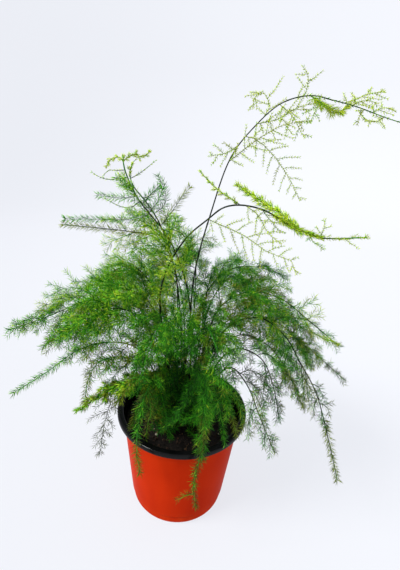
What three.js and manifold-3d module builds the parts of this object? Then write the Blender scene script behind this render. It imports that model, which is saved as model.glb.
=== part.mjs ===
// Potted asparagus fern: a thin plastic nursery pot, filled with potting soil, and the leafy stems
// that stand in it. Millimetres, +Z up. The origin is the middle of the pot's underside.

import * as THREE from 'three';
import { mergeVertices } from 'three/addons/utils/BufferGeometryUtils.js';
import Module from 'manifold-3d';

const wasm = await Module();
wasm.setup();

// Pot: one thin formed sheet with a rolled lip, a step above its foot and drain holes
const POT_HEIGHT = 104;
const LIP_RADIUS = 60;
const LIP_HEIGHT = 4.5;
const LIP_ROUND = 1.6;
const LIP_EDGE = 0.5;
const MOUTH_RADIUS = 54;
const BODY_TOP_RADIUS = 54.5;
const FOOT_RADIUS = 45;
const FOOT_ROUND = 5;
const FOOT_STEP_HEIGHT = 10;
const STEP_DEPTH = 0.5;
const STEP_RISE = 1;
const SHOULDER_DROP = 7;
const WALL = 1.2;
const DRAIN_HOLES = 4;
const DRAIN_RADIUS = 4;
const DRAIN_RING_RADIUS = 28;
const DRAIN_SIDES = 8;
const LATHE_SIDES = 26;

// Soil: fills the pot to a little below the lip, with a crumbly top
const SOIL_TOP = 89;
const SOIL_RELIEF = 1.2;
const SOIL_RINGS = 4;
const FIT_GAP = 0.3;

// Stems: each stands in a plain hole, with its foot just clear of the bottom of the hole
const STEM_FOOT = 76;
const STEM_COLLAR = 92;
const STEM_FREE = 98;
const HOLE_RADIUS = 2;
const HOLE_SIDES = 4;
const STEM_RADIUS = 1.1;
const STEM_TIP_RADIUS = 0.8;
const STEM_STEP_LENGTH = 24;
const BARE_SHARE = 0.9;

// Sprays and needles: three sides each, roots on the centre line of what they grow from
const SIDES = 3;
const SPRAY_ROOT_RADIUS = 0.3;
const SPRAY_RADIUS = 1.5;
const SPRAY_TIP_RADIUS = 0.9;
const SPRAY_STEP_LENGTH = 22;
const NEEDLE_LENGTH = 7;
const NEEDLE_RADIUS = 0.33;
const NEEDLE_SPACING = 10.4;
const FIRST_NEEDLE = 6;
const NEEDLE_LEAN = THREE.MathUtils.degToRad(52);
const FIRST_FACE = Math.PI / 2;
const JOINT_MARGIN = 0.02;

// Fans: a spray leaves forwards and to one side of its stem, rises or sinks a little, and bends. Its
// length is a share of the fan's reach, which swells from the first spray to the middle.
const FAN_FORWARD = 0.6;
const FAN_SIDEWAYS = 0.8;
const FAN_RISE = 0.3;
const FAN_SHORTEST = 0.3;
const FAN_FIRST_SWELL = 0.15;
const FAN_VARIATION = 0.18;
const SPRAY_MIDDLE = 0.5;
const SPRAY_END = 0.8;
const SPRAY_END_FORWARD = 0.25;

// Clearances: what a branch tries, in turn, until it passes clear of the pot and of every other stem
const CLEARANCE = 0.35;
const POT_MARGIN = 0.8;
const SPRAY_LIFTS = [0, 3, -3, 6, -6, 9, -9, 12, -12];
const SPRAY_SHARES = [1, 0.75, 0.5];

const UP = new THREE.Vector3(0, 0, 1);
const FIRST_NORMAL = new THREE.Vector3(0.4, 0.5, 0.8);
const GOLDEN_RATIO = 0.618034;
const MERGE_DISTANCE = 1e-4;
const TINY = 1e-6;

// Finishes
const POT_PLASTIC = { color: 0xc8380f, roughness: 0.42 };
const SOIL = { color: 0x20150f, roughness: 0.95 };
const BUSH = { color: 0x2f7d24, roughness: 0.6 };
const YOUNG = { color: 0x9cbf2a, roughness: 0.6 };

// The leafy stems. foot is where each leaves the soil, route the points that it bends through. A fan is
// its row of side sprays in one plane: from and to are fractions of its length, reach is the longest
// spray and droop how far a spray's tip sinks, as a share of its length. A twig leaves at a fraction of
// the stem's length and bends through the points that follow.
const STEMS = [
  {
    name: 'tall_shoot', finish: YOUNG, foot: [-4, 6],
    route: [
      [1, 8, 160], [3, 8, 237], [12, 10, 285], [24, 12, 329], [38, 12, 350], [55, 10, 367],
      [73, 6, 373], [89, 2, 371], [104, -2, 368], [122, -6, 363], [135, -8, 360],
    ],
    twigs: [
      [0.68, [19, 2, 332], [8, -4, 330]],
      [0.645, [33, 4, 336], [43, 0, 345], [57, -4, 354], [72, -8, 357]],
      [0.70, [41, 18, 342], [53, 22, 334], [67, 24, 320], [82, 24, 299]],
      [0.745, [48, 18, 365], [42, 20, 374], [37, 22, 369], [37, 22, 363]],
      [0.78, [63, 2, 359], [68, -4, 351], [71, -6, 347]],
      [0.73, [57, 22, 357], [71, 26, 366], [83, 28, 369]],
      [0.807, [70, 12, 373], [72, 14, 379], [71, 14, 386], [66, 12, 391]],
      [0.85, [77, -4, 367], [73, -10, 357]],
      [0.835, [86, 12, 367], [96, 14, 364], [104, 16, 369]],
      [0.893, [105, 8, 373], [114, 12, 377], [125, 14, 379]],
      [0.907, [105, -10, 372], [112, -14, 371]],
      [0.928, [104, -10, 363], [103, -12, 358]],
      [0.943, [124, 4, 369], [132, 6, 368]],
      [0.964, [114, -14, 360], [107, -18, 360]],
    ],
  },
  {
    name: 'arching_shoot', finish: YOUNG, foot: [-9, -3],
    route: [
      [-17, -3, 165], [-24, -2, 213], [-20, -2, 239], [-5, -4, 269], [10, -6, 285], [21, -7, 295],
      [33, -8, 298], [50, -10, 296], [72, -12, 286], [93, -14, 280], [107, -16, 281], [125, -18, 284],
    ],
    twigs: [
      [0.576, [-11, -12, 276], [-18, -18, 279]],
      [0.642, [19, -14, 284], [37, -20, 279], [56, -26, 269], [71, -28, 266], [76, -30, 257]],
      [0.72, [24, -2, 302], [15, 4, 306], [2, 8, 317]],
      [0.865, [67, -6, 291], [51, 2, 299], [31, 8, 309]],
      [0.73, [45, -16, 294], [54, -20, 282], [63, -22, 276]],
      [0.767, [57, -2, 287], [66, 2, 278]],
      [0.879, [87, -20, 278], [94, -24, 275]],
      [0.905, [96, -8, 286], [97, -4, 291]],
    ],
  },
  {
    name: 'left_shoot', finish: YOUNG, foot: [5, 1],
    route: [
      [4, 2, 173], [-3, 5, 225], [-20, 6, 265], [-35, 6, 283], [-44, 6, 294], [-50, 6, 305],
      [-54, 5, 316], [-55, 4, 325],
    ],
    twigs: [
      [0.985, [-46, 0, 327], [-39, -4, 326], [-34, -6, 330]],
      [0.985, [-59, 8, 323], [-66, 10, 320], [-69, 12, 315]],
      [0.94, [-61, 0, 308], [-68, -4, 309], [-74, -8, 313]],
      [0.96, [-61, 10, 313], [-68, 14, 312], [-73, 16, 307]],
      [0.865, [-47, 0, 289], [-54, -4, 289], [-65, -8, 295]],
      [0.88, [-59, 12, 292], [-77, 16, 292]],
      [0.91, [-52, 2, 307], [-57, 0, 312]],
      [0.82, [-42, -2, 281], [-47, -6, 284], [-49, -8, 288]],
      [0.72, [-22, -8, 262], [-34, -20, 266], [-44, -28, 262]],
      [0.64, [-6, -8, 246], [-14, -24, 254], [-20, -36, 250]],
      [0.76, [-18, -6, 274], [-14, -14, 284], [-12, -20, 290]],
    ],
  },
  {
    name: 'twin_shoot', finish: BUSH, foot: [-2, 14],
    route: [
      [-5, 14, 166], [-13, 14, 230], [-23, 12, 264], [-32, 11, 282], [-41, 10, 294], [-48, 10, 302],
      [-51, 10, 311], [-49, 9, 319],
    ],
    twigs: [
      [0.955, [-45, 14, 311], [-33, 18, 321]],
      [0.975, [-49, 12, 319], [-46, 14, 323]],
      [0.828, [-24, 14, 290], [-25, 16, 300], [-30, 16, 310]],
      [0.785, [-19, 16, 283], [-13, 20, 292], [-6, 22, 302]],
      [0.75, [-15, 18, 270], [-11, 22, 276]],
      [0.77, [-37, 10, 275], [-66, 6, 276], [-99, 2, 275]],
      [0.885, [-36, 16, 295], [-29, 20, 300]],
      [0.70, [-20, 26, 262], [-24, 40, 268], [-30, 52, 264]],
      [0.64, [-4, 26, 250], [8, 36, 258], [18, 44, 254]],
    ],
  },
  {
    name: 'high_left', finish: BUSH, foot: [-8, 22],
    route: [[-9, 22, 172], [-17, 20, 241], [-32, 16, 261], [-48, 10, 266], [-73, 4, 269], [-100, 0, 271]],
    twigs: [
      [0.742, [-46, 8, 259], [-59, 2, 254]],
      [0.795, [-57, 2, 263], [-68, -4, 259]],
      [0.70, [-20, 24, 261], [-12, 28, 264]],
      [0.66, [-26, 30, 256], [-36, 42, 258]],
      [0.82, [-62, 18, 272], [-76, 24, 270]],
    ],
  },
  {
    name: 'left_top', finish: BUSH, foot: [-15, 18],
    route: [[-18, 22, 160], [-32, 24, 210], [-52, 22, 232], [-72, 18, 224], [-91, 12, 209]],
    fan: { from: 0.42, to: 0.97, count: 9, reach: 36, droop: 0.2 },
  },
  {
    name: 'left_long', finish: BUSH, foot: [-16, 8],
    route: [
      [-20, 6, 165], [-37, 4, 211], [-59, 0, 220], [-84, -8, 211], [-111, -16, 199], [-130, -22, 192],
      [-142, -25, 188],
    ],
    fan: { from: 0.4, to: 0.97, count: 11, reach: 38, droop: 0.25 },
  },
  {
    name: 'left_middle', finish: BUSH, foot: [-18, -3],
    route: [[-24, -8, 160], [-38, -14, 202], [-59, -22, 213], [-84, -30, 200], [-110, -36, 183]],
    fan: { from: 0.4, to: 0.97, count: 9, reach: 38, droop: 0.3 },
  },
  {
    name: 'left_low', finish: BUSH, foot: [-20, -10],
    route: [
      [-27, -16, 155], [-43, -26, 183], [-62, -34, 189], [-82, -40, 184], [-104, -46, 167],
      [-131, -50, 147],
    ],
    fan: { from: 0.4, to: 0.97, count: 9, reach: 30, droop: 0.3 },
  },
  {
    name: 'left_hanging', finish: BUSH, foot: [-20, -17],
    route: [[-30, -24, 155], [-46, -36, 178], [-63, -46, 180], [-70, -52, 170], [-74, -56, 148]],
    fan: { from: 0.42, to: 0.97, count: 8, reach: 28, droop: 0.4 },
  },
  {
    name: 'left_lowest', finish: BUSH, foot: [-13, -20],
    route: [[-24, -28, 143], [-35, -40, 162], [-53, -52, 160], [-77, -62, 146]],
    fan: { from: 0.42, to: 0.97, count: 7, reach: 28, droop: 0.3 },
    twigs: [[0.62, [-52, -50, 150], [-60, -53, 124], [-64, -53, 94]]],
  },
  {
    name: 'right_top', finish: BUSH, foot: [9, 14],
    route: [[13, 16, 167], [15, 18, 215], [31, 18, 236], [52, 16, 242], [80, 12, 237]],
    fan: { from: 0.42, to: 0.97, count: 9, reach: 38, droop: 0.35 },
  },
  {
    name: 'right_high', finish: BUSH, foot: [12, 6],
    route: [[16, 6, 168], [28, 4, 210], [49, 2, 225], [74, -2, 223], [100, -8, 207], [127, -12, 188]],
    fan: { from: 0.4, to: 0.97, count: 8, reach: 38, droop: 0.35 },
  },
  {
    name: 'right_behind', finish: BUSH, foot: [16, 22],
    route: [[22, 26, 156], [40, 34, 182], [75, 40, 182], [117, 46, 151], [168, 50, 109]],
    fan: { from: 0.4, to: 0.97, count: 9, reach: 36, droop: 0.35 },
  },
  {
    name: 'right_long', finish: BUSH, foot: [14, -3],
    route: [
      [20, -6, 161], [36, -12, 201], [58, -20, 213], [77, -28, 203], [90, -34, 185], [105, -42, 163],
      [117, -50, 133], [134, -56, 86],
    ],
    fan: { from: 0.34, to: 0.97, count: 11, reach: 30, droop: 0.35 },
  },
  {
    name: 'right_middle', finish: BUSH, foot: [19, -9],
    route: [[26, -14, 160], [42, -22, 185], [61, -30, 182], [73, -38, 160], [80, -44, 134]],
    fan: { from: 0.42, to: 0.97, count: 8, reach: 28, droop: 0.4 },
  },
  {
    name: 'right_low', finish: BUSH, foot: [19, -17],
    route: [[27, -25, 155], [38, -36, 176], [50, -46, 168], [61, -54, 147], [77, -60, 115]],
    fan: { from: 0.42, to: 0.97, count: 8, reach: 24, droop: 0.4 },
  },
  {
    name: 'right_side', finish: BUSH, foot: [20, 11],
    route: [[27, 12, 157], [48, 18, 174], [75, 22, 163], [100, 24, 130], [121, 24, 92]],
    fan: { from: 0.42, to: 0.97, count: 9, reach: 30, droop: 0.4 },
  },
  {
    name: 'front_over_lip', finish: BUSH, foot: [8, -20],
    route: [
      [11, -28, 150], [14, -44, 178], [19, -58, 165], [18, -66, 139], [18, -69, 115], [15, -71, 86],
      [18, -71, 62],
    ],
    fan: { from: 0.5, to: 0.97, count: 8, reach: 16, droop: 0.4 },
    twigs: [[0.44, [7, -46, 160], [-3, -49, 140], [-14, -50, 119]]],
  },
  {
    name: 'front_left', finish: BUSH, foot: [-10, -26],
    route: [[-17, -32, 143], [-24, -44, 162], [-30, -56, 146], [-32, -64, 109], [-29, -65, 88]],
    fan: { from: 0.45, to: 0.97, count: 7, reach: 18, droop: 0.4 },
  },
  {
    name: 'front_right', finish: BUSH, foot: [15, -27],
    route: [[22, -32, 138], [34, -37, 156], [31, -43, 150], [19, -46, 139], [3, -47, 128]],
    fan: { from: 0.45, to: 0.97, count: 7, reach: 18, droop: 0.3 },
  },
  {
    name: 'centre_left', finish: BUSH, foot: [-4, -10],
    route: [[-8, -16, 180], [-14, -32, 214], [-22, -52, 208], [-30, -68, 182]],
    fan: { from: 0.4, to: 0.97, count: 8, reach: 36, droop: 0.3 },
  },
  {
    name: 'centre_right', finish: BUSH, foot: [7, -8],
    route: [[10, -16, 178], [16, -32, 208], [24, -50, 200], [32, -64, 176]],
    fan: { from: 0.4, to: 0.97, count: 8, reach: 34, droop: 0.3 },
  },
  {
    name: 'back_left', finish: BUSH, foot: [-10, 29],
    route: [[-24, 48, 175], [-50, 74, 203], [-82, 94, 180], [-104, 104, 148]],
    fan: { from: 0.4, to: 0.97, count: 8, reach: 38, droop: 0.35 },
  },
  {
    name: 'back_middle', finish: BUSH, foot: [-1, 33],
    route: [[-8, 58, 185], [-22, 90, 205], [-36, 116, 186], [-44, 132, 156]],
    fan: { from: 0.4, to: 0.97, count: 8, reach: 38, droop: 0.35 },
  },
  {
    name: 'back_right', finish: BUSH, foot: [7, 30],
    route: [[20, 58, 185], [42, 88, 202], [64, 110, 180], [76, 122, 152]],
    fan: { from: 0.4, to: 0.97, count: 8, reach: 38, droop: 0.35 },
  },
  {
    name: 'back_high', finish: BUSH, foot: [4, 22],
    route: [[4, 36, 205], [2, 58, 232], [-2, 84, 230], [-6, 108, 208]],
    fan: { from: 0.45, to: 0.97, count: 8, reach: 38, droop: 0.3 },
  },
];

// Solids: a closed mesh as a solid to join and cut, and back again
function solid(geometry) {
  geometry.deleteAttribute('normal');
  geometry.deleteAttribute('uv');
  const merged = mergeVertices(geometry, MERGE_DISTANCE);
  return new wasm.Manifold(new wasm.Mesh({
    numProp: 3,
    vertProperties: new Float32Array(merged.attributes.position.array),
    triVerts: new Uint32Array(merged.index.array),
  }));
}

function surface(manifold) {
  const { vertProperties, triVerts } = manifold.getMesh();
  const geometry = new THREE.BufferGeometry();
  geometry.setAttribute('position', new THREE.BufferAttribute(vertProperties, 3));
  geometry.setIndex(new THREE.BufferAttribute(triVerts, 1));
  geometry.computeVertexNormals();
  return geometry;
}

function named(name, geometry, finish) {
  const material = new THREE.MeshStandardMaterial({ ...finish, metalness: 0 });
  const mesh = new THREE.Mesh(geometry, material);
  mesh.name = name;
  return mesh;
}

// An upright prism over the point (x, y), from one height to another
function prism(x, y, low, high, radius, sides) {
  const geometry = new THREE.CylinderGeometry(radius, radius, high - low, sides);
  geometry.rotateX(Math.PI / 2);
  geometry.translate(x, y, (low + high) / 2);
  return solid(geometry);
}

// A profile of [radius, height] points turned about the Z axis
function turned(profile) {
  const points = profile.map(([radius, height]) => new THREE.Vector2(radius, height));
  const geometry = new THREE.LatheGeometry(points, LATHE_SIDES);
  geometry.rotateX(Math.PI / 2);
  return geometry;
}

// Radius of the pot's outer wall at a height, on the straight taper from foot to lip
function wallRadius(height) {
  const top = POT_HEIGHT - LIP_HEIGHT;
  return FOOT_RADIUS + (BODY_TOP_RADIUS - FOOT_RADIUS) * (height / top);
}

function pot() {
  const lipLow = POT_HEIGHT - LIP_HEIGHT;
  const shoulder = lipLow - SHOULDER_DROP;
  const cornerInset = FOOT_ROUND * (1 - Math.SQRT1_2);
  const outside = [
    [0, 0],
    [FOOT_RADIUS - FOOT_ROUND, 0],
    [FOOT_RADIUS - cornerInset, cornerInset],
    [wallRadius(FOOT_ROUND) - STEP_DEPTH, FOOT_ROUND],
    [wallRadius(FOOT_STEP_HEIGHT) - STEP_DEPTH, FOOT_STEP_HEIGHT],
    [wallRadius(FOOT_STEP_HEIGHT + STEP_RISE), FOOT_STEP_HEIGHT + STEP_RISE],
    [wallRadius(shoulder), shoulder],
    [wallRadius(shoulder) + STEP_DEPTH, shoulder + STEP_RISE],
    [BODY_TOP_RADIUS + STEP_DEPTH, lipLow],
  ];
  const lip = [
    [LIP_RADIUS - LIP_EDGE, lipLow],
    [LIP_RADIUS, lipLow + LIP_EDGE],
    [LIP_RADIUS, POT_HEIGHT - LIP_ROUND],
    [LIP_RADIUS - LIP_ROUND, POT_HEIGHT],
    [MOUTH_RADIUS + LIP_ROUND, POT_HEIGHT],
    [MOUTH_RADIUS, POT_HEIGHT - LIP_ROUND],
  ];
  const inside = [
    [wallRadius(shoulder) - WALL, shoulder],
    [wallRadius(FOOT_ROUND) - STEP_DEPTH - WALL, FOOT_ROUND],
    [FOOT_RADIUS - FOOT_ROUND, WALL],
    [0, WALL],
  ];
  let body = solid(turned([...outside, ...lip, ...inside]));
  for (let i = 0; i < DRAIN_HOLES; i += 1) {
    const turn = (i + 0.5) * 2 * Math.PI / DRAIN_HOLES;
    const x = DRAIN_RING_RADIUS * Math.cos(turn);
    const y = DRAIN_RING_RADIUS * Math.sin(turn);
    body = body.subtract(prism(x, y, -WALL, 2 * WALL, DRAIN_RADIUS, DRAIN_SIDES));
  }
  return named('pot', surface(body), POT_PLASTIC);
}

// Height of the soil's crumbs over the point (x, y): three crossing ripples of different lengths
function crumbs(x, y) {
  const coarse = Math.sin(0.31 * x + 1.3) * Math.cos(0.27 * y - 0.4);
  const middle = Math.sin(0.83 * x - 0.57 * y) * Math.cos(0.61 * x + 0.9 * y + 2);
  return SOIL_RELIEF * (0.6 * coarse + 0.4 * middle);
}

// The soil, clear of the pot's wall also where its edge dips lowest
function pottingSoil() {
  const bottom = WALL + FIT_GAP;
  const edge = wallRadius(SOIL_TOP - SOIL_RELIEF) - WALL - FIT_GAP;
  const low = wallRadius(FOOT_ROUND) - STEP_DEPTH - WALL - FIT_GAP;
  const lowest = FOOT_RADIUS - FOOT_ROUND - FIT_GAP;
  const profile = [[0, bottom], [lowest, bottom], [low - FIT_GAP, FOOT_ROUND + FIT_GAP]];
  for (let ring = SOIL_RINGS; ring >= 0; ring -= 1) {
    profile.push([edge * ring / SOIL_RINGS, SOIL_TOP]);
  }
  const geometry = turned(profile);
  const position = geometry.attributes.position;
  for (let i = 0; i < position.count; i += 1) {
    if (position.getZ(i) > SOIL_TOP - MERGE_DISTANCE) {
      position.setZ(i, SOIL_TOP + crumbs(position.getX(i), position.getY(i)));
    }
  }
  let body = solid(geometry);
  for (const { foot: [x, y] } of STEMS) {
    const hole = prism(x, y, STEM_FOOT - FIT_GAP, STEM_COLLAR, HOLE_RADIUS, HOLE_SIDES);
    body = body.subtract(hole);
  }
  return named('potting_soil', surface(body), SOIL);
}

// A curve through points given as plain triples
function curveThrough(points) {
  return new THREE.CatmullRomCurve3(points.map((point) => new THREE.Vector3(...point)));
}

function stemCurve({ foot: [x, y], route }) {
  return curveThrough([[x, y, STEM_FOOT], [x, y, STEM_COLLAR], [x, y, STEM_FREE], ...route]);
}

// A branch: a curve cut into straight chords, which are the centre line of its faceted rod. The last
// chord is as long as a needle and runs out to the tip. Each joint has two sideways axes, turned as
// little as possible from one joint to the next.
function branchAlong(curve, stepLength) {
  const length = curve.getLength();
  const steps = Math.max(2, Math.round(length / stepLength) + 1);
  const budShare = Math.max(0.5, 1 - NEEDLE_LENGTH / length);
  const shares = [];
  for (let k = 0; k < steps; k += 1) shares.push(budShare * k / (steps - 1));
  shares.push(1);
  const joints = [];
  let normal = FIRST_NORMAL;
  for (const share of shares) {
    const tangent = curve.getTangentAt(share);
    normal = normal.clone().addScaledVector(tangent, -normal.dot(tangent)).normalize();
    const binormal = tangent.clone().cross(normal);
    joints.push({ share, place: curve.getPointAt(share), normal, binormal });
  }
  return { length, budShare, joints };
}

// The place on a branch's centre line at a share of its length, with its heading and sideways axes
function placeOn({ joints }, share) {
  const next = joints.findIndex((joint) => joint.share > share);
  const [low, high] = [joints[next - 1], joints[next]];
  const part = (share - low.share) / (high.share - low.share);
  const place = low.place.clone().lerp(high.place, part);
  const heading = high.place.clone().sub(low.place).normalize();
  return { place, heading, normal: low.normal, binormal: low.binormal };
}

// A three-sided rod along a branch, with its radius given for each share of the length, ending in a point
function rod({ joints }, radiusAt) {
  const steps = joints.length - 1;
  const geometry = new THREE.ConeGeometry(1, 1, SIDES, steps);
  const position = geometry.attributes.position;
  for (let i = 0; i < position.count; i += 1) {
    const step = Math.round((position.getY(i) + 0.5) * steps);
    const { share, place, normal, binormal } = joints[step];
    const across = new THREE.Vector2(position.getX(i), position.getZ(i));
    if (across.length() > TINY) across.setLength(step < steps ? radiusAt(share) : 0);
    const corner = place.clone().addScaledVector(normal, across.x).addScaledVector(binormal, -across.y);
    position.setXYZ(i, corner.x, corner.y, corner.z);
  }
  return solid(geometry);
}

// A needle: a three-sided spike from root towards tip
function spike(root, tip) {
  const length = root.distanceTo(tip);
  const geometry = new THREE.ConeGeometry(NEEDLE_RADIUS, length, SIDES);
  geometry.translate(0, length / 2, 0);
  const heading = tip.clone().sub(root).normalize();
  geometry.applyQuaternion(new THREE.Quaternion().setFromUnitVectors(new THREE.Vector3(0, 1, 0), heading));
  geometry.translate(root.x, root.y, root.z);
  return solid(geometry);
}

// A number from -1 to 1 that steps evenly through the range, the same on every run
function spread(step, offset) {
  const turn = GOLDEN_RATIO * step + offset;
  return 2 * (turn - Math.floor(turn)) - 1;
}

// Side sprays of a fan: alternate sides, longest near the middle, bent forwards and down
function fanSprays(stem, index) {
  if (!stem.fan) return [];
  const { from, to, count, reach, droop } = stem.fan;
  const last = stem.route[stem.route.length - 1];
  const heading = new THREE.Vector3(last[0] - stem.foot[0], last[1] - stem.foot[1], 0).normalize();
  const side = new THREE.Vector3(-heading.y, heading.x, 0);
  const sprays = [];
  for (let k = 0; k < count; k += 1) {
    const share = k / (count - 1);
    const { place: root, heading: along } = placeOn(stem.branch, from + (to - from) * share);
    const phase = FAN_FIRST_SWELL + (1 - FAN_FIRST_SWELL) * share;
    const swell = FAN_SHORTEST + (1 - FAN_SHORTEST) * Math.sin(Math.PI * phase);
    const length = reach * swell * (1 + FAN_VARIATION * spread(k, 0.37 * index));
    const out = along.clone().multiplyScalar(FAN_FORWARD);
    out.addScaledVector(side, k % 2 ? FAN_SIDEWAYS : -FAN_SIDEWAYS);
    out.addScaledVector(UP, FAN_RISE * spread(k, 0.73 * index + 0.5));
    out.normalize();
    const middle = root.clone().addScaledVector(out, SPRAY_MIDDLE * length);
    const tip = root.clone().addScaledVector(out, SPRAY_END * length);
    tip.addScaledVector(along, SPRAY_END_FORWARD * length);
    tip.addScaledVector(UP, -droop * length);
    sprays.push([root, middle, tip]);
  }
  return sprays;
}

function twigSprays(stem) {
  return (stem.twigs ?? []).map(([share, ...points]) => (
    [placeOn(stem.branch, share).place, ...points.map((point) => new THREE.Vector3(...point))]));
}

// Straight lengths already laid, each with the stem that it belongs to
const taken = [];

function lengthsOf({ joints }, radius, owner) {
  return joints.slice(1).map(({ place }, i) => ({ start: joints[i].place, end: place, radius, owner }));
}

// Shortest distance between two straight lengths
function distanceBetween(one, other) {
  const u = one.end.clone().sub(one.start);
  const v = other.end.clone().sub(other.start);
  const w = one.start.clone().sub(other.start);
  const uu = u.dot(u);
  const uv = u.dot(v);
  const vv = v.dot(v);
  const uw = u.dot(w);
  const vw = v.dot(w);
  const spanned = uu * vv - uv * uv;
  const clamp = (value) => Math.min(1, Math.max(0, value));
  let s = spanned > TINY ? clamp((uv * vw - vv * uw) / spanned) : 0;
  const t = clamp((uv * s + vw) / vv);
  s = clamp((uv * t - uw) / uu);
  return w.addScaledVector(u, s).addScaledVector(v, -t).length();
}

// Above the pot, outside its lip, or inside its wall and above the soil, all along the length
function clearOfPot(length) {
  const margin = length.radius + POT_MARGIN;
  return [0, 0.25, 0.5, 0.75, 1].every((share) => {
    const point = length.start.clone().lerp(length.end, share);
    const out = Math.hypot(point.x, point.y);
    const overSoil = out < wallRadius(SOIL_TOP) - WALL - margin
      && point.z > SOIL_TOP + SOIL_RELIEF + margin;
    return point.z > POT_HEIGHT + margin || out > LIP_RADIUS + margin || overSoil;
  });
}

function clearOfOthers(length) {
  return taken.every((other) => other.owner === length.owner
    || distanceBetween(length, other) > length.radius + other.radius + CLEARANCE);
}

function isClear(lengths) {
  return lengths.every((length) => clearOfPot(length) && clearOfOthers(length));
}

// Bend a spray up or down, then shorten it, until it passes clear of every other stem
function settled(points, owner) {
  for (const share of SPRAY_SHARES) {
    for (const lift of SPRAY_LIFTS) {
      const bent = points.map((point, i) => {
        const moved = point.clone().addScaledVector(UP, lift * i / (points.length - 1));
        return points[0].clone().lerp(moved, share);
      });
      const branch = branchAlong(new THREE.CatmullRomCurve3(bent), SPRAY_STEP_LENGTH);
      const lengths = lengthsOf(branch, SPRAY_RADIUS, owner);
      if (isClear(lengths)) {
        taken.push(...lengths);
        return branch;
      }
    }
  }
  return null;
}

// Needles all round a branch, from a first share of its length out to its tip
function needlesAlong(branch, first, owner) {
  const count = Math.max(2, Math.round(branch.length * (branch.budShare - first) / NEEDLE_SPACING));
  const span = branch.budShare - JOINT_MARGIN - first;
  const needles = [];
  for (let i = 0; i < count; i += 1) {
    const share = first + span * (i + 0.5) / (count - 0.5);
    const { place: root, heading, normal, binormal } = placeOn(branch, share);
    for (let attempt = 0; attempt < SIDES; attempt += 1) {
      const turn = FIRST_FACE + (i + attempt) * 2 * Math.PI / SIDES;
      const out = heading.clone().multiplyScalar(Math.cos(NEEDLE_LEAN));
      out.addScaledVector(normal, Math.sin(NEEDLE_LEAN) * Math.cos(turn));
      out.addScaledVector(binormal, Math.sin(NEEDLE_LEAN) * Math.sin(turn));
      const tip = root.clone().addScaledVector(out.normalize(), NEEDLE_LENGTH);
      const length = { start: root, end: tip, radius: NEEDLE_RADIUS, owner };
      if (isClear([length])) {
        taken.push(length);
        needles.push(spike(root, tip));
        break;
      }
    }
  }
  return needles;
}

// Every stem is laid first, then every spray, then the needles, so that none crosses another stem
for (const stem of STEMS) {
  stem.branch = branchAlong(stemCurve(stem), STEM_STEP_LENGTH);
  taken.push(...lengthsOf(stem.branch, STEM_RADIUS, stem.name));
}
STEMS.forEach((stem, index) => {
  const wanted = [...twigSprays(stem), ...fanSprays(stem, index)];
  stem.sprays = wanted.map((points) => settled(points, stem.name)).filter((branch) => branch);
});

const stemRadius = (share) => THREE.MathUtils.lerp(STEM_RADIUS, STEM_TIP_RADIUS, share);

// A spray is thinnest at its root, where it enters the stem through one face
const sprayRadius = (share) => (
  share === 0 ? SPRAY_ROOT_RADIUS : THREE.MathUtils.lerp(SPRAY_RADIUS, SPRAY_TIP_RADIUS, share));

function leafyStem(stem) {
  const leafy = stem.fan ? stem.fan.from : BARE_SHARE;
  const pieces = stem.sprays.map((branch) => rod(branch, sprayRadius));
  for (const branch of stem.sprays) {
    pieces.push(...needlesAlong(branch, FIRST_NEEDLE / branch.length, stem.name));
  }
  pieces.push(...needlesAlong(stem.branch, leafy, stem.name));
  const stalk = rod(stem.branch, stemRadius);
  const body = pieces.reduce((joined, piece) => joined.add(piece), stalk);
  return named(stem.name, surface(body), stem.finish);
}

const pottedFern = new THREE.Group();
pottedFern.name = 'potted_asparagus_fern';
pottedFern.add(pot(), pottingSoil(), ...STEMS.map(leafyStem));

export default pottedFern;
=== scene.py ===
"""The looks of a potted asparagus fern: its pot, soil and leafy stems, with a floor, lights and a camera.

Sizes are in millimetres, as in the part's own source, and become metres where a mesh is made. +Z is up.
"""
import logging
import math
from dataclasses import dataclass
from enum import Enum
from itertools import combinations

import bpy
import numpy as np
from mathutils import Matrix, Vector


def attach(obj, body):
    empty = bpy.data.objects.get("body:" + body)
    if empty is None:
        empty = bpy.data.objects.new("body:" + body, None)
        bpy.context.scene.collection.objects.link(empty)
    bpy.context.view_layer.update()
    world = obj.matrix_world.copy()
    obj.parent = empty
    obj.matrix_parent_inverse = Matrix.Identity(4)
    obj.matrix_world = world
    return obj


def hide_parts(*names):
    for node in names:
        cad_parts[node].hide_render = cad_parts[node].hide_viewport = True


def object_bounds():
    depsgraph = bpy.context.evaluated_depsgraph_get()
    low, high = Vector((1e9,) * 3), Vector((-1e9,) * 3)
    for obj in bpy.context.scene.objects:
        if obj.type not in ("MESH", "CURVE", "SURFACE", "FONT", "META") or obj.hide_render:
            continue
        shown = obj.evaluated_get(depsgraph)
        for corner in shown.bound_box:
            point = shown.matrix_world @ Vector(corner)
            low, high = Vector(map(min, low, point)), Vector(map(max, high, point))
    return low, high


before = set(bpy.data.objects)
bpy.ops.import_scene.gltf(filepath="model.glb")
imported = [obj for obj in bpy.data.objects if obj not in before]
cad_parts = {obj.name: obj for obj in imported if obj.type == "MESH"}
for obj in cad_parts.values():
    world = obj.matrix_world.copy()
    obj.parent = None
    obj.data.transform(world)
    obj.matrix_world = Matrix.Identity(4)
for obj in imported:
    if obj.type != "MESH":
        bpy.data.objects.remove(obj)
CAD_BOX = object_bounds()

Array = np.ndarray
Colour = tuple[float, float, float, float]
Stops = tuple[tuple[float, Colour], ...]
Pair = tuple[float, float]
Triple = tuple[float, float, float]

BODY = "root"
MAP_NAME = "OFBake"
MM = 0.001
SEED = 41
GOLDEN_RATIO = 0.618034
GOLDEN_TURN = 2 * math.pi * GOLDEN_RATIO
# How far on in the golden sequences of lengths and of lifts each stem starts after the one before it.
LENGTH_START = 0.37
LIFT_START = 0.73
UP = np.array((0.0, 0.0, 1.0))
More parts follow.
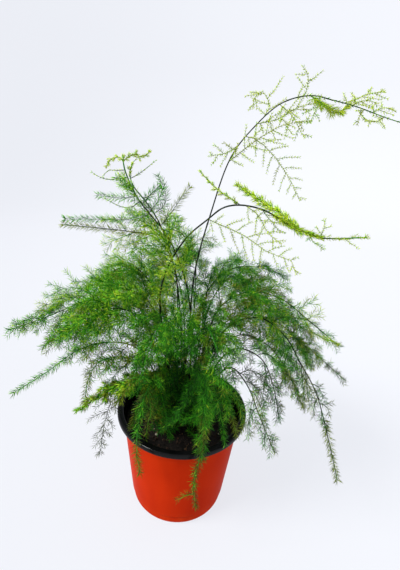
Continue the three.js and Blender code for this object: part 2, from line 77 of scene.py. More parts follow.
# Hardly any line runs this way, so a line's sideways axis is worked out from it.
ASIDE = np.array((0.31, 0.52, 0.79))
# On foliage's own map the first coordinate is the tone. The second runs from root to tip, green in the
# lower half, and olive in the upper half, which begins here.
OLIVE_FROM = 0.5

log = logging.getLogger("potted_fern")


def srgb(red: int, green: int, blue: int) -> Colour:
    """Turns a screen colour into the linear one that a shader takes.

    Args:
        red, green, blue: the screen colour, from 0 to 255.

    Returns:
        Linear red, green, blue and an alpha of 1.
    """
    share = np.array((red, green, blue)) / 255
    linear = np.where(share <= 0.04045, share / 12.92, ((share + 0.055) / 1.055) ** 2.4)
    return (*linear.tolist(), 1.0)


# Shader expressions


class Value:
    """A socket of a material's nodes, on which Python's operators do arithmetic."""

    def __init__(self, shader: "Shader", socket: bpy.types.NodeSocket) -> None:
        """Keeps the socket and the material that it belongs to."""
        self.shader = shader
        self.socket = socket

    def __add__(self, other: "Value | float") -> "Value":
        """The sum."""
        return self.shader.math("ADD", self, other)

    def __sub__(self, other: "Value | float") -> "Value":
        """The difference."""
        return self.shader.math("SUBTRACT", self, other)

    def __rsub__(self, other: float) -> "Value":
        """A number less this value."""
        return self.shader.math("SUBTRACT", other, self)

    def __mul__(self, other: "Value | float") -> "Value":
        """The product."""
        return self.shader.math("MULTIPLY", self, other)

    __radd__ = __add__
    __rmul__ = __mul__

    def clamped(self) -> "Value":
        """The value, kept between 0 and 1."""
        return self.shader.math("ADD", self, 0.0, clamp=True)

    def past(self, edge: float, width: float) -> "Value":
        """A mask that rises from 0 to 1 over a width centred on an edge."""
        return ((self - (edge - width / 2)) * (1 / width)).clamped()


class Shader:
    """One material, whose nodes are made by expressions."""

    def __init__(self, name: str, **constants: float) -> None:
        """Starts a material with one surface shader.

        Args:
            name: the material's name.
            constants: sockets of the surface shader that are the same all over, with _ for a space.
        """
        self.material = bpy.data.materials.new(name)
        self.material.use_nodes = True
        self.tree = self.material.node_tree
        self.tree.nodes.clear()
        self.surface = self.node("ShaderNodeBsdfPrincipled")
        self.node("ShaderNodeOutputMaterial", inputs={"Surface": self.surface.outputs[0]})
        for name, number in constants.items():
            socket = name.replace("_", " ").title().replace("Ior", "IOR")
            self.surface.inputs[socket].default_value = number

    def node(self, kind: str, settings: dict[str, object] | None = None,
             inputs: dict[str | int, object] | None = None) -> bpy.types.Node:
        """Adds a node.

        Args:
            kind: the node's type.
            settings: its attributes, set before its sockets.
            inputs: socket names or numbers, each with a constant, a value or a socket to link.

        Returns:
            The node.
        """
        node = self.tree.nodes.new(kind)
        for name, setting in (settings or {}).items():
            setattr(node, name, setting)
        for key, given in (inputs or {}).items():
            self.feed(node.inputs[key], given)
        return node

    def feed(self, socket: bpy.types.NodeSocket, given: object) -> None:
        """Links a value or a socket to an input, or sets the input's constant.

        Args:
            socket: the input.
            given: what it gets.
        """
        if isinstance(given, Value):
            given = given.socket
        if isinstance(given, bpy.types.NodeSocket):
            self.tree.links.new(given, socket)
        else:
            socket.default_value = given

    def math(self, operation: str, first: object, second: object, clamp: bool = False) -> Value:
        """One step of arithmetic on numbers."""
        settings = {"operation": operation, "use_clamp": clamp}
        return Value(self, self.node("ShaderNodeMath", settings, {0: first, 1: second}).outputs[0])

    def feed_surface(self, **inputs: object) -> None:
        """Feeds sockets of the surface shader, named as in the constants."""
        for name, given in inputs.items():
            self.feed(self.surface.inputs[name.replace("_", " ").title()], given)

    def place(self) -> Value:
        """The place on the object, in metres."""
        return Value(self, self.node("ShaderNodeTexCoord").outputs["Object"])

    def stretched(self, factors: Triple) -> Value:
        """The place on the object, with each axis multiplied by a factor."""
        node = self.node("ShaderNodeVectorMath", {"operation": "MULTIPLY"}, {0: self.place(), 1: factors})
        return Value(self, node.outputs[0])

    def own_map(self) -> tuple[Value, Value]:
        """Reads the piece's own map.

        Returns:
            Its first and its second coordinate.
        """
        there = self.node("ShaderNodeUVMap", {"uv_map": MAP_NAME}).outputs[0]
        parts = self.node("ShaderNodeSeparateXYZ", inputs={0: there}).outputs
        return Value(self, parts[0]), Value(self, parts[1])

    def noise(self, scale: float, detail: float = 2.0, place: Value | None = None) -> Value:
        """Smooth noise from 0 to 1, with so many waves a metre."""
        inputs = {"Vector": place or self.place(), "Scale": scale, "Detail": detail}
        return Value(self, self.node("ShaderNodeTexNoise", inputs=inputs).outputs[0])

    def mixed(self, factor: Value, low: object, high: object) -> Value:
        """Mixes two colours.

        Args:
            factor: how much of the mix is the second.
            low, high: the first and the second.

        Returns:
            The mix.
        """
        # On this node 6 and 7 are the inputs for colours, and 2 is the output for their mix.
        inputs = {0: factor, 6: low, 7: high}
        return Value(self, self.node("ShaderNodeMix", {"data_type": "RGBA"}, inputs).outputs[2])

    def ramp(self, factor: Value, stops: Stops) -> Value:
        """Blends from the colour of each stop to that of the next.

        Args:
            factor: what picks the colour.
            stops: factors in rising order, each with its colour.

        Returns:
            The colour.
        """
        node = self.node("ShaderNodeValToRGB", inputs={0: factor})
        elements = node.color_ramp.elements
        elements[0].position = stops[0][0]
        elements[0].color = stops[0][1]
        elements[1].position = stops[-1][0]
        elements[1].color = stops[-1][1]
        for position, colour in stops[1:-1]:
            elements.new(position).color = colour
        return Value(self, node.outputs[0])

    def bumped(self, height: Value, depth: float, strength: float = 1.0) -> None:
        """Gives the surface relief.

        Args:
            height: the relief, from 0 to 1.
            depth: how deep it is, in millimetres.
            strength: how much of it shows.
        """
        inputs = {"Height": height, "Distance": depth * MM, "Strength": strength}
        self.feed_surface(normal=self.node("ShaderNodeBump", inputs=inputs).outputs[0])


# Finishes


@dataclass(frozen=True)
class PotPlastic:
    """Formed plastic sheet, orange outside and black inside, with the colour change at the lip.

    Fields that end in _waves say how fine a pattern is, in waves a metre, and those in _share how much
    of it shows. Those in _edge give the value at which it is half there, and the width over which it
    comes in. Those in _line give the ends of a line, and those in _width how soft an edge is, as shares
    of the profile. Clouds, scuffs and dust roughen the satin by its gains, and streaks and scuffs the
    gloss. The relief is grain for its share, and streaks for the rest. The crease colour on the lines at
    the step and the shoulder is painted shade in those creases.
    """

    orange: Colour = srgb(188, 45, 8)
    deep_orange: Colour = srgb(168, 34, 6)
    # Painted shade: the colour that the creases at the step and the shoulder line are darkened towards.
    crease_shade: Colour = srgb(92, 16, 4)
    dust: Colour = srgb(206, 84, 34)
    black: Colour = srgb(5, 5, 6)
    dull_black: Colour = srgb(16, 16, 17)
    deep_edge: Pair = (0.6, 0.35)
    cloud_waves: float = 14.0
    cloud_share: float = 0.7
    streak_waves: float = 60.0
    streak_share: float = 0.5
    streak_stretch: Triple = (1.0, 1.0, 0.08)
    scuff_waves: float = 420.0
    scuff_share: float = 0.08
    scuff_edge: Pair = (0.68, 0.12)
    dust_waves: float = 120.0
    dust_share: float = 0.2
    dust_edge: Pair = (0.5, 0.3)
    dust_width: float = 0.05
    dull_waves: float = 90.0
    dull_share: float = 0.6
    dull_edge: Pair = (0.55, 0.3)
    black_width: float = 0.0004
    line_width: float = 0.002
    step_line: Pair = (-0.003, 0.001)
    step_shade: float = 0.8
    shoulder_line: Pair = (-0.002, 0.001)
    shoulder_shade: float = 0.35
    satin: float = 0.3
    satin_gains: Triple = (0.1, 0.15, 0.15)
    gloss: float = 0.16
    gloss_gains: Pair = (0.12, 0.2)
    lip_coat: float = 0.3
    grain_waves: float = 700.0
    grain_share: float = 0.4
    grain_depth: float = 0.05

    def material(self, black_from: float, step: float, shoulder: float) -> bpy.types.Material:
        """Builds the material, on the pot's own map, whose second coordinate runs along the profile.

        Args:
            black_from: where along the profile the black begins, as a share of the profile.
            step: where the step over the foot is, as a share.
            shoulder: where the line under the lip is, as a share.

        Returns:
            The material.
        """
        shader = Shader("pot_plastic", coat_roughness=0.12, specular_ior_level=0.004)
        _, along = shader.own_map()
        black = along.past(black_from, self.black_width)
        cloud = shader.noise(self.cloud_waves, detail=3.0)
        drawn = shader.stretched(self.streak_stretch)
        streaks = shader.noise(self.streak_waves, detail=4.0, place=drawn)
        scuffs = shader.noise(self.scuff_waves, detail=5.0).past(*self.scuff_edge)
        below = 1 - along.past(step, self.dust_width)
        dusty = below * shader.noise(self.dust_waves, detail=4.0).past(*self.dust_edge)

        deep = (cloud * self.cloud_share + streaks * self.streak_share).past(*self.deep_edge)
        orange = shader.mixed(deep, self.orange, self.deep_orange)
        pale = (dusty * self.dust_share + scuffs * self.scuff_share).clamped()
        orange = shader.mixed(pale, orange, self.dust)
        # Painted shade: the step and the shoulder line are darkened towards the crease colour.
        painted_crease_shade = (self.line(along, step, self.step_line) * self.step_shade
                   + self.line(along, shoulder, self.shoulder_line) * self.shoulder_shade)
        orange = shader.mixed(painted_crease_shade, orange, self.crease_shade)
        dull = shader.noise(self.dull_waves, detail=4.0).past(*self.dull_edge) * self.dull_share
        dark = shader.mixed(dull, self.black, self.dull_black)

        by_cloud, by_scuffs, by_dust = self.satin_gains
        satin = self.satin + cloud * by_cloud + scuffs * by_scuffs + dusty * by_dust
        by_streaks, by_scuffs = self.gloss_gains
        gloss = self.gloss + streaks * by_streaks + scuffs * by_scuffs
        shader.feed_surface(base_color=shader.mixed(black, orange, dark),
                            roughness=satin * (1 - black) + gloss * black,
                            coat_weight=black * self.lip_coat)
        relief = shader.noise(self.grain_waves) * self.grain_share + streaks * (1 - self.grain_share)
        shader.bumped(relief, self.grain_depth, strength=0.5)
        return shader.material

    def line(self, along: Value, place: float, ends: Pair) -> Value:
        """A mask with soft edges that is 1 on a short stretch of the profile, at a place on it."""
        start, end = place + ends[0], place + ends[1]
        return along.past(start, self.line_width) * (1 - along.past(end, self.line_width))


@dataclass(frozen=True)
class DampSoil:
    """Dark peat: brown-black with redder and greyer patches down to the size of a crumb."""

    stops: Stops = (
        (0.3, srgb(8, 6, 5)),
        (0.62, srgb(26, 19, 15)),
        (0.85, srgb(70, 54, 42)),
    )
    grain_waves: float = 620.0
    grain_share: float = 0.75
    patch_waves: float = 140.0
    patch_share: float = 0.3
    patch_gloss: float = 0.25
    roughness: float = 0.98
    relief: float = 0.8

    def material(self) -> bpy.types.Material:
        """Builds the material, on the place on the object.

        Returns:
            The material.
        """
        shader = Shader("damp_soil", specular_ior_level=0.25)
        grain = shader.noise(self.grain_waves, detail=6.0)
        patch = shader.noise(self.patch_waves, detail=3.0)
        tone = grain * self.grain_share + patch * self.patch_share
        shader.feed_surface(base_color=shader.ramp(tone, self.stops),
                            roughness=self.roughness - patch * self.patch_gloss)
        shader.bumped(grain, self.relief)
        return shader.material


@dataclass(frozen=True)
class Bits:
    """Crumbs, bark, fibres and pale grit on the soil, each with a tone of its own on its map."""

    stops: Stops = (
        (0.0, srgb(20, 14, 10)),
        (0.4, srgb(58, 40, 28)),
        (0.6, srgb(104, 76, 50)),
        (0.8, srgb(150, 128, 96)),
        (1.0, srgb(214, 206, 184)),
    )
    roughness: float = 0.95
    tone_gloss: float = 0.25

    def material(self) -> bpy.types.Material:
        """Builds the material, on the pieces' own map.

        Returns:
            The material.
        """
        shader = Shader("soil_bits", specular_ior_level=0.3)
        tone, _ = shader.own_map()
        shader.feed_surface(base_color=shader.ramp(tone, self.stops),
                            roughness=self.roughness - tone * self.tone_gloss)
        return shader.material


@dataclass(frozen=True)
class Greenery:
    """Stems and needles, each with a tone of its own on its map, from dark bare stem to lime tip."""

    stops: Stops = (
        (0.00, srgb(14, 20, 12)),
        (0.12, srgb(30, 46, 14)),
        (0.24, srgb(16, 62, 8)),
        (0.42, srgb(36, 114, 10)),
        (0.58, srgb(70, 162, 22)),
        (0.68, srgb(120, 192, 42)),
        (0.78, srgb(148, 204, 38)),
        (0.88, srgb(182, 214, 26)),
        (1.00, srgb(208, 226, 72)),
    )
    olive_stops: Stops = (
        (0.00, srgb(26, 26, 8)),
        (0.30, srgb(46, 66, 10)),
        (0.50, srgb(96, 118, 20)),
        (0.75, srgb(138, 156, 40)),
        (1.00, srgb(182, 194, 76)),
    )
    olive_width: float = 0.01
    tip_gain: float = 0.1
    roughness: float = 0.62
    tone_gloss: float = 0.2

    def material(self) -> bpy.types.Material:
        """Builds the material: the tone picks the colour, and a needle grows paler towards its tip.

        Returns:
            The material.
        """
        shader = Shader("greenery", specular_ior_level=0.15)
        tone, place = shader.own_map()
        olive = place.past(OLIVE_FROM, self.olive_width)
        along = place * 2 - olive
        shifted = (tone + (along - 0.5) * self.tip_gain).clamped()
        green, faded = shader.ramp(shifted, self.stops), shader.ramp(shifted, self.olive_stops)
        shader.feed_surface(base_color=shader.mixed(olive, green, faded),
                            roughness=self.roughness - tone * self.tone_gloss)
        return shader.material


@dataclass(frozen=True)
class StudioPaper:
    """Matt pale paper of the studio floor, lit a little from behind."""

    pale: Colour = (0.13, 0.132, 0.138, 1.0)
    glow: Colour = (0.95, 0.97, 1.03, 1.0)
    glow_strength: float = 0.76
    grain_waves: float = 40.0
    grain_shade: float = 0.985

    def material(self) -> bpy.types.Material:
        """Builds the material, with a barely seen grain.

        Returns:
            The material.
        """
        shader = Shader("studio_paper", roughness=0.9, specular_ior_level=0.1,
                        emission_strength=self.glow_strength)
        darker = tuple(self.grain_shade * part for part in self.pale[:3]) + (1.0,)
        colour = shader.mixed(shader.noise(self.grain_waves), self.pale, darker)
        shader.feed_surface(base_color=colour, emission_color=self.glow)
        return shader.material


# Surfaces


def unit(vectors: Array) -> Array:
    """The vectors, each made one long."""
    return vectors / np.maximum(np.linalg.norm(vectors, axis=-1, keepdims=True), 1e-9)


class Surface:
    """Points, faces and map of one piece, gathered part by part and then made one mesh."""

    def __init__(self) -> None:
        """Starts with nothing."""
        self.points: list[Array] = []
        self.corners: list[Array] = []
        self.sizes: list[Array] = []
        self.maps: list[Array] = []
        self.count = 0

    def add(self, points: Array, *groups: tuple[Array, Array]) -> None:
        """Adds a part.

        Args:
            points: its points, in millimetres.
            groups: pairs of faces, as rows of point numbers, and the map of each face's corners.
        """
        for faces, corner_maps in groups:
            self.corners.append((faces + self.count).ravel())
            self.sizes.append(np.full(len(faces), faces.shape[1]))
            self.maps.append(corner_maps.reshape(-1, 2))
        self.points.append(points.reshape(-1, 3))
        self.count += len(self.points[-1])

    def triangles(self) -> int:
        """How many triangles the faces come to."""
        return int(sum((sizes - 2).sum() for sizes in self.sizes))

    def mesh(self, name: str) -> bpy.types.Mesh:
        """Makes the mesh, in metres, smoothly shaded.

        Args:
            name: its name.

        Returns:
            The mesh.
        """
        points = np.concatenate(self.points) * MM
        corners = np.concatenate(self.corners)
        sizes = np.concatenate(self.sizes)
        mesh = bpy.data.meshes.new(name)
        mesh.vertices.add(len(points))
        mesh.vertices.foreach_set("co", points.astype(np.float32).ravel())
        mesh.loops.add(len(corners))
        mesh.loops.foreach_set("vertex_index", corners.astype(np.int32))
        mesh.polygons.add(len(sizes))
        mesh.polygons.foreach_set("loop_start", (np.cumsum(sizes) - sizes).astype(np.int32))
        mesh.update(calc_edges=True)
        layer = mesh.uv_layers.new(name=MAP_NAME)
        layer.data.foreach_set("uv", np.concatenate(self.maps).astype(np.float32).ravel())
        mesh.polygons.foreach_set("use_smooth", np.ones(len(sizes), bool))
        return mesh

    def piece(self, name: str, material: bpy.types.Material, slot: str, *nodes: str) -> bpy.types.Object:
        """Makes the object, riding on the part's body.

        Args:
            name: its name.
            material: its material.
            slot: a material slot's name; not used.
            nodes: the solids that it stands for.

        Returns:
            The object.
        """
        thing = bpy.data.objects.new(name, self.mesh(name))
        thing.data.materials.append(material)
        bpy.context.scene.collection.objects.link(thing)
        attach(thing, BODY)
        if nodes:
            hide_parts(*nodes)
        log.info("%s: %d triangles", name, self.triangles())
        return thing


def shares_along(line: Array) -> Array:
    """How far along a line each of its points is, as a share of its length."""
    steps = np.linalg.norm(np.diff(line, axis=0), axis=1)
    return np.concatenate(((0,), np.cumsum(steps))) / steps.sum()


def turned(profile: Array, columns: int) -> tuple[Array, list[tuple[Array, Array]]]:
    """Carries a profile round the Z axis: the point at row i and turn t is (r cos t, r sin t, z).

    Args:
        profile: rows of radius and height, from a point on the axis to another.
        columns: how many steps make a full turn.

    Returns:
        The points, and the faces with their map: the turn across, and the length along the profile up.
    """
    turns = 2 * np.pi * np.arange(columns) / columns
    rings = profile[1:-1, :1, None] * np.stack((np.cos(turns), np.sin(turns)))[None]
    heights = np.broadcast_to(profile[1:-1, 1, None], rings[:, 0].shape)
    ring_points = np.stack((rings[:, 0], rings[:, 1], heights), -1).reshape(-1, 3)
    poles = np.array([[0, 0, profile[0, 1]], [0, 0, profile[-1, 1]]])
    points = np.concatenate((poles, ring_points))

    rows = len(profile) - 2
    index = 2 + np.arange(rows * columns).reshape(rows, columns)
    onward = np.roll(index, -1, axis=1)
    along = shares_along(profile)
    column = np.arange(columns)

    def corner(turn: Array, row: Array) -> Array:
        """The map of corners at some turns and rows."""
        turn, row = np.broadcast_arrays(turn / columns, along[row])
        return np.stack((turn, row), -1)

    row = 1 + np.arange(rows - 1)[:, None]
    quads = np.stack((index[:-1], onward[:-1], onward[1:], index[1:]), -1).reshape(-1, 4)
    quad_map = np.stack((corner(column, row), corner(column + 1, row),
                         corner(column + 1, row + 1), corner(column, row + 1)), -2)
    low = np.stack((np.zeros(columns, int), onward[0], index[0]), -1)
    low_map = np.stack((corner(column + 0.5, np.array(0)), corner(column + 1, np.array(1)),
                        corner(column, np.array(1))), -2)
    high = np.stack((index[-1], onward[-1], np.ones(columns, int)), -1)
    high_map = np.stack((corner(column, np.array(rows)), corner(column + 1, np.array(rows)),
                         corner(column + 0.5, np.array(rows + 1))), -2)
    return points, [(quads, quad_map.reshape(-1, 4, 2)), (low, low_map), (high, high_map)]


# A tube's own map: it keeps to these tones, spreads this far so that no face is without some of the map,
# and runs up by so much from its foot. Its caps spread less.
TUBE_TONES = (0.01, 0.98)
TUBE_SPREAD = 0.01
TUBE_FOOT = 0.05
TUBE_RUN = 0.38
CAP_SPREAD = 0.005
# A needle's: its tones, and how far its root, its tip and its two corners spread and lie up the map.
NEEDLE_TONES = (0.02, 0.98)
NEEDLE_SPREAD = np.array((0.0, 0.0, 0.006, -0.006))
NEEDLE_PLACES = np.array((0.02, 0.46, 0.18, 0.2))
# Where a needle is widest, as a share of its length, and how deep it is there, as a share of its width.
NEEDLE_BELLY = 0.4
NEEDLE_DEPTH = 0.33


def add_tubes(surface: Surface, lines: Array, radii: Array, tones: Array, sides: int,
              olive: bool = False) -> None:
    """Adds closed tubes: round each point of a line, corners at the radius times (cos t n + sin t b).

    n is one sideways axis for the whole line, made square to its heading at each point, and b is square
    to both.

    Args:
        surface: what they are added to.
        lines: the centre lines, as lines by points by 3.
        radii: the radius at each point of each line.
        tones: the tone at each point of each line.
        sides: how many flat sides go round.
        olive: whether they are olive; the upper half of the map holds that.
    """
    count, length = radii.shape
    if count == 0:
        return
    headings = unit(np.gradient(lines, axis=1))
    aside = unit(np.cross(headings[:, :1], ASIDE))
    normals = unit(aside - (aside * headings).sum(-1, keepdims=True) * headings)
    binormals = np.cross(headings, normals)
    turns = 2 * np.pi * np.arange(sides) / sides
    outward = (np.cos(turns)[:, None] * normals[:, :, None]
               + np.sin(turns)[:, None] * binormals[:, :, None])
    points = lines[:, :, None] + radii[:, :, None, None] * outward

    index = np.arange(count * length * sides).reshape(count, length, sides)
    onward = np.roll(index, -1, axis=2)
    quads = np.stack((index[:, :-1], onward[:, :-1], onward[:, 1:], index[:, 1:]), -1).reshape(-1, 4)
    across = np.clip(tones, *TUBE_TONES)[..., None] + TUBE_SPREAD * np.arange(sides) / sides
    along = (TUBE_FOOT + TUBE_RUN * np.arange(length) / (length - 1) + OLIVE_FROM * olive)[:, None]
    along = np.broadcast_to(along, across.shape)
    maps = np.stack((across, along), -1).reshape(-1, 2)
    cap_map = CAP_SPREAD * np.stack((np.cos(turns), np.sin(turns)), -1)
    first = maps[index[:, 0, :1]] + cap_map
    last = maps[index[:, -1, :1]] - cap_map
    caps = (index[:, 0, ::-1], np.clip(first, 0, 1)), (index[:, -1], np.clip(last, 0, 1))
    surface.add(points, (quads, maps[quads]), *caps)


def add_needles(surface: Surface, roots: Array, headings: Array, across: Array, lengths: Array,
                widths: Array, tones: Array, faded: Array) -> None:
    """Adds needles: root, tip, and two corners where the needle is widest.

    The corners stand half the width to each side, and the depth off the line from root to tip.

    Args:
        surface: what they are added to.
        roots: where they start.
        headings: where they point, each one long.
        across: the way each is widest, square to its heading.
        lengths: how long they are.
        widths: how wide they are.
        tones: their tones.
        faded: which of them are olive; the upper half of the map holds those.
    """
    lengths, widths = lengths[:, None], widths[:, None]
    below = NEEDLE_DEPTH * widths * np.cross(headings, across)
    middle = roots + NEEDLE_BELLY * lengths * headings + below
    points = np.stack((roots, roots + lengths * headings,
                       middle + 0.5 * widths * across, middle - 0.5 * widths * across), 1)
    pattern = np.array(((0, 2, 1), (0, 1, 3), (0, 3, 2), (1, 2, 3)))
    faces = (4 * np.arange(len(roots))[:, None, None] + pattern).reshape(-1, 3)
    up = NEEDLE_PLACES + OLIVE_FROM * faded[:, None]
    maps = np.stack((np.clip(tones, *NEEDLE_TONES)[:, None] + NEEDLE_SPREAD, up), -1).reshape(-1, 2)
    surface.add(points, (faces, maps[faces]))


def value_noise(x: Array, y: Array, cell: float, seed: int, side: int = 64) -> Array:
    """Smooth noise: random heights on a square lattice, eased by 3f^2 - 2f^3 from corner to corner.

    Args:
        x, y: where it is wanted.
        cell: the lattice's spacing.
        seed: which random heights.
        side: how many heights each side of the lattice has before they repeat.

    Returns:
        Heights from -1 to 1.
    """
    table = np.random.default_rng(seed).uniform(-1, 1, (side, side))
    column, row = np.floor(x / cell).astype(int), np.floor(y / cell).astype(int)
    right, up = x / cell - column, y / cell - row
    right, up = right * right * (3 - 2 * right), up * up * (3 - 2 * up)
    this, following = column % side, (column + 1) % side
    low, high = (table[line % side, this] * (1 - right) + table[line % side, following] * right
                 for line in (row, row + 1))
    return low * (1 - up) + high * up


def arc(centre: Pair, radius: float, start: float, end: float, steps: int) -> Array:
    """Points of a round stretch of a profile, from one angle to another, in degrees."""
    turns = np.radians(np.linspace(start, end, steps + 1))
    return np.array(centre) + radius * np.stack((np.cos(turns), np.sin(turns)), -1)


def straight(start: Pair, end: Pair, steps: int) -> Array:
    """Points of a straight stretch of a profile."""
    return np.linspace(start, end, steps + 1)


# Corners of the solid of 20 faces are neighbours where they are nearer to each other than this.
NEIGHBOURS = 1.1


def twenty_faces() -> tuple[Array, Array]:
    """The regular solid of 20 faces, each corner 1 from its middle.

    The corners are (0, a, bg), (a, bg, 0) and (bg, 0, a) made one long, with a and b 1 or -1 and g half
    of 1 + sqrt 5. Three corners that are all neighbours make a face.

    Returns:
        Its 12 corners, and its faces as rows of their numbers, in the order that points each outwards.
    """
    golden = (1 + math.sqrt(5)) / 2
    signs = [(a, b * golden) for a in (-1, 1) for b in (-1, 1)]
    corners = unit(np.array([(0, a, b) for a, b in signs] + [(a, b, 0) for a, b in signs]
                            + [(b, 0, a) for a, b in signs]))
    near = np.linalg.norm(corners[:, None] - corners[None], axis=-1) < NEIGHBOURS
    faces = np.array([(a, b, c) for a, b, c in combinations(range(len(corners)), 3)
                      if near[a, b] and near[b, c] and near[a, c]])
    first, second, third = corners[faces].transpose(1, 0, 2)
    inward = (np.cross(second - first, third - first) * first).sum(-1) < 0
    faces[inward] = faces[inward][:, (0, 2, 1)]
    return corners, faces


# Pot and soil


@dataclass(frozen=True)
class NurseryPot:
    """The thin round pot: its rolled lip, a line at its shoulder, a step at its foot and drain holes.

    A drop is measured down from the lip's lower edge, and a slope is the height that a step in the wall
    takes. The sides of the drain holes have the pot's map up to cut_map, and the rest of the pot has it
    from map_start on.
    """

    height: float = 104.0
    lip_radius: float = 60.0
    lip_height: float = 4.5
    lip_round: float = 1.6
    mouth_radius: float = 54.0
    foot_radius: float = 45.0
    foot_round: float = 3.2
    body_top_radius: float = 54.5
    step_height: float = 10.0
    step_depth: float = 0.8
    step_slope: float = 0.7
    shoulder_drop: float = 7.0
    shoulder_slope: float = 1.0
    wall: float = 1.2
    drain_radius: float = 4.0
    drain_ring: float = 28.0
    drain_holes: int = 4
    drill_ends: Pair = (-2.0, 4.0)
    drill_columns: int = 28
    hem_round: float = 0.9
    edge_round: float = 0.5
    columns: int = 128
    cut_map: float = 0.02
    map_start: float = 0.03

    @property
    def lip_foot(self) -> float:
        """The height of the lip's lower edge."""
        return self.height - self.lip_height

    @property
    def shoulder(self) -> float:
        """The height of the line under the lip."""
        return self.lip_foot - self.shoulder_drop

    @property
    def foot_inset_radius(self) -> float:
        """The outer radius just over the rounded foot."""
        return self.radius(self.foot_round) - self.step_depth

    def radius(self, height: Array | float) -> Array | float:
        """The outer radius of the plain wall at a height."""
        slope = (self.body_top_radius - self.foot_radius) / self.lip_foot
        return self.foot_radius + slope * height

    def outside(self) -> Array:
        """Draws the profile from the middle of the underside to the lower edge of the lip.

        Returns:
            Rows of radius and height, closer together at the step and at the shoulder.
        """
        step, shoulder = self.step_height, self.shoulder
        # From the foot to just under the step, over it, up to the shoulder, over it, and up to the lip.
        heights = np.concatenate((
            np.linspace(self.foot_round, step - 0.6, num=5)[1:],
            step + np.linspace(-0.4, 0.9, num=6),
            np.linspace(step + 2, shoulder - 0.4, num=16),
            shoulder + np.linspace(0, self.shoulder_slope, num=6),
            np.linspace(shoulder + 2, self.lip_foot - self.hem_round, num=5),
        ))
        inset = self.step_depth * (1 - np.clip((heights - step) / self.step_slope, 0, 1))
        proud = self.step_depth * np.clip((heights - shoulder) / self.shoulder_slope, 0, 1)
        wall = np.stack((self.radius(heights) - inset + proud, heights), -1)
        foot = self.foot_inset_radius - self.foot_round
        return np.concatenate((
            straight((0, 0), (foot, 0), steps=8),
            arc((foot, self.foot_round), self.foot_round, -90, 0, steps=10)[1:],
            wall,
            arc(wall[-1] + (self.hem_round, 0), self.hem_round, 180, 90, steps=4)[1:],
        ))

    def lip(self, start: Array) -> Array:
        """Draws the lip: out, up, over its rounded rim and down to the mouth.

        Args:
            start: the point where its lower edge begins.

        Returns:
            Rows of radius and height.
        """
        edge, top = self.edge_round, self.height - self.lip_round
        return np.concatenate((
            straight(start, (self.lip_radius - edge, self.lip_foot), steps=3)[1:],
            arc((self.lip_radius - edge, self.lip_foot + edge), edge, -90, 0, steps=4)[1:],
            arc((self.lip_radius - self.lip_round, top), self.lip_round, 0, 90, steps=8),
            arc((self.mouth_radius + self.lip_round, top), self.lip_round, 90, 180, steps=8),
        ))

    def inside(self, start: Array) -> Array:
        """Draws the inner side: down the wall, round the corner and in to the middle of the floor.

        Args:
            start: the point of the lip that it goes on from.

        Returns:
            Rows of radius and height.
        """
        bend = self.foot_round - self.wall
        floor = self.foot_inset_radius - self.wall
        under_shoulder = (self.radius(self.shoulder) - self.wall, self.shoulder)
        return np.concatenate((
            straight(start, under_shoulder, steps=4)[1:],
            straight(under_shoulder, (floor, self.foot_round), steps=12)[1:],
            arc((floor - bend, self.foot_round), bend, 0, -90, steps=6)[1:],
            straight((floor - bend, self.wall), (0, self.wall), steps=6)[1:],
        ))

    def build(self, finish: PotPlastic) -> bpy.types.Object:
        """Turns the closed profile, cuts the drain holes and dresses the pot.

        Args:
            finish: its finish.

        Returns:
            The pot.
        """
        outside = self.outside()
        lip = self.lip(outside[-1])
        profile = np.concatenate((outside, lip, self.inside(lip[-1])))
        edge = len(outside) - 1
        shares = self.map_start + (1 - self.map_start) * shares_along(profile)
        middles = self.step_height, self.shoulder + self.shoulder_slope / 2
        marks = np.searchsorted(outside[:-1, 1], middles)
        step, shoulder = shares[marks].tolist()

        surface = Surface()
        points, groups = turned(profile, self.columns)
        lifted = [(faces, maps * (1, 1 - self.map_start) + (0, self.map_start)) for faces, maps in groups]
        surface.add(points, *lifted)
        material = finish.material(float(shares[edge]) + finish.black_width, step, shoulder)
        pot = surface.piece("formed_pot", material, "pot_plastic", "pot")
        self.cut_drains(pot)
        return pot

    def cut_drains(self, pot: bpy.types.Object) -> None:
        """Cuts the round drain holes, whose sides take the first strip of the map.

        Args:
            pot: the pot, whose mesh is changed.
        """
        low, high = self.drill_ends
        drill = np.array(((0, low), (self.drain_radius, low), (self.drain_radius, high), (0, high)))
        points, groups = turned(drill, self.drill_columns)
        cutters = Surface()
        for hole in range(self.drain_holes):
            turn = 2 * math.pi * (hole + 0.5) / self.drain_holes
            shift = self.drain_ring * np.array((math.cos(turn), math.sin(turn), 0))
            cutters.add(points + shift, *((faces, maps * (1, self.cut_map)) for faces, maps in groups))
        cutter = bpy.data.objects.new("drain_cutter", cutters.mesh("drain_cutter"))
        bpy.context.scene.collection.objects.link(cutter)
        cut = pot.modifiers.new("drain_holes", "BOOLEAN")
        cut.object = cutter
        holed = bpy.data.meshes.new_from_object(pot.evaluated_get(bpy.context.evaluated_depsgraph_get()))
        pot.modifiers.clear()
        pot.data = holed
        bpy.data.objects.remove(cutter)


# A lump's own map: its tones, how far it spreads to each side of its tone, and how far up and down.
LUMP_TONES = (0.01, 0.99)
LUMP_SPREAD = 0.01
LUMP_RISE = 0.4


@dataclass(frozen=True)
class Lumps:
    """Uneven lumps of one kind: how many, their least and greatest width, and the range of their tones.

    Rarity is how seldom they are large. Each corner is moved by a factor from the range of roughness,
    and each axis by one from that of flatness. The middle is lifted by so much of the width.
    """

    count: int
    sizes: Pair
    tones: Pair
    rarity: float = 2.5
    roughness: Pair = (0.62, 1.1)
    flatness: Pair = (0.6, 1)
    lift: float = 0.22
    edge_gap: float = 1.6


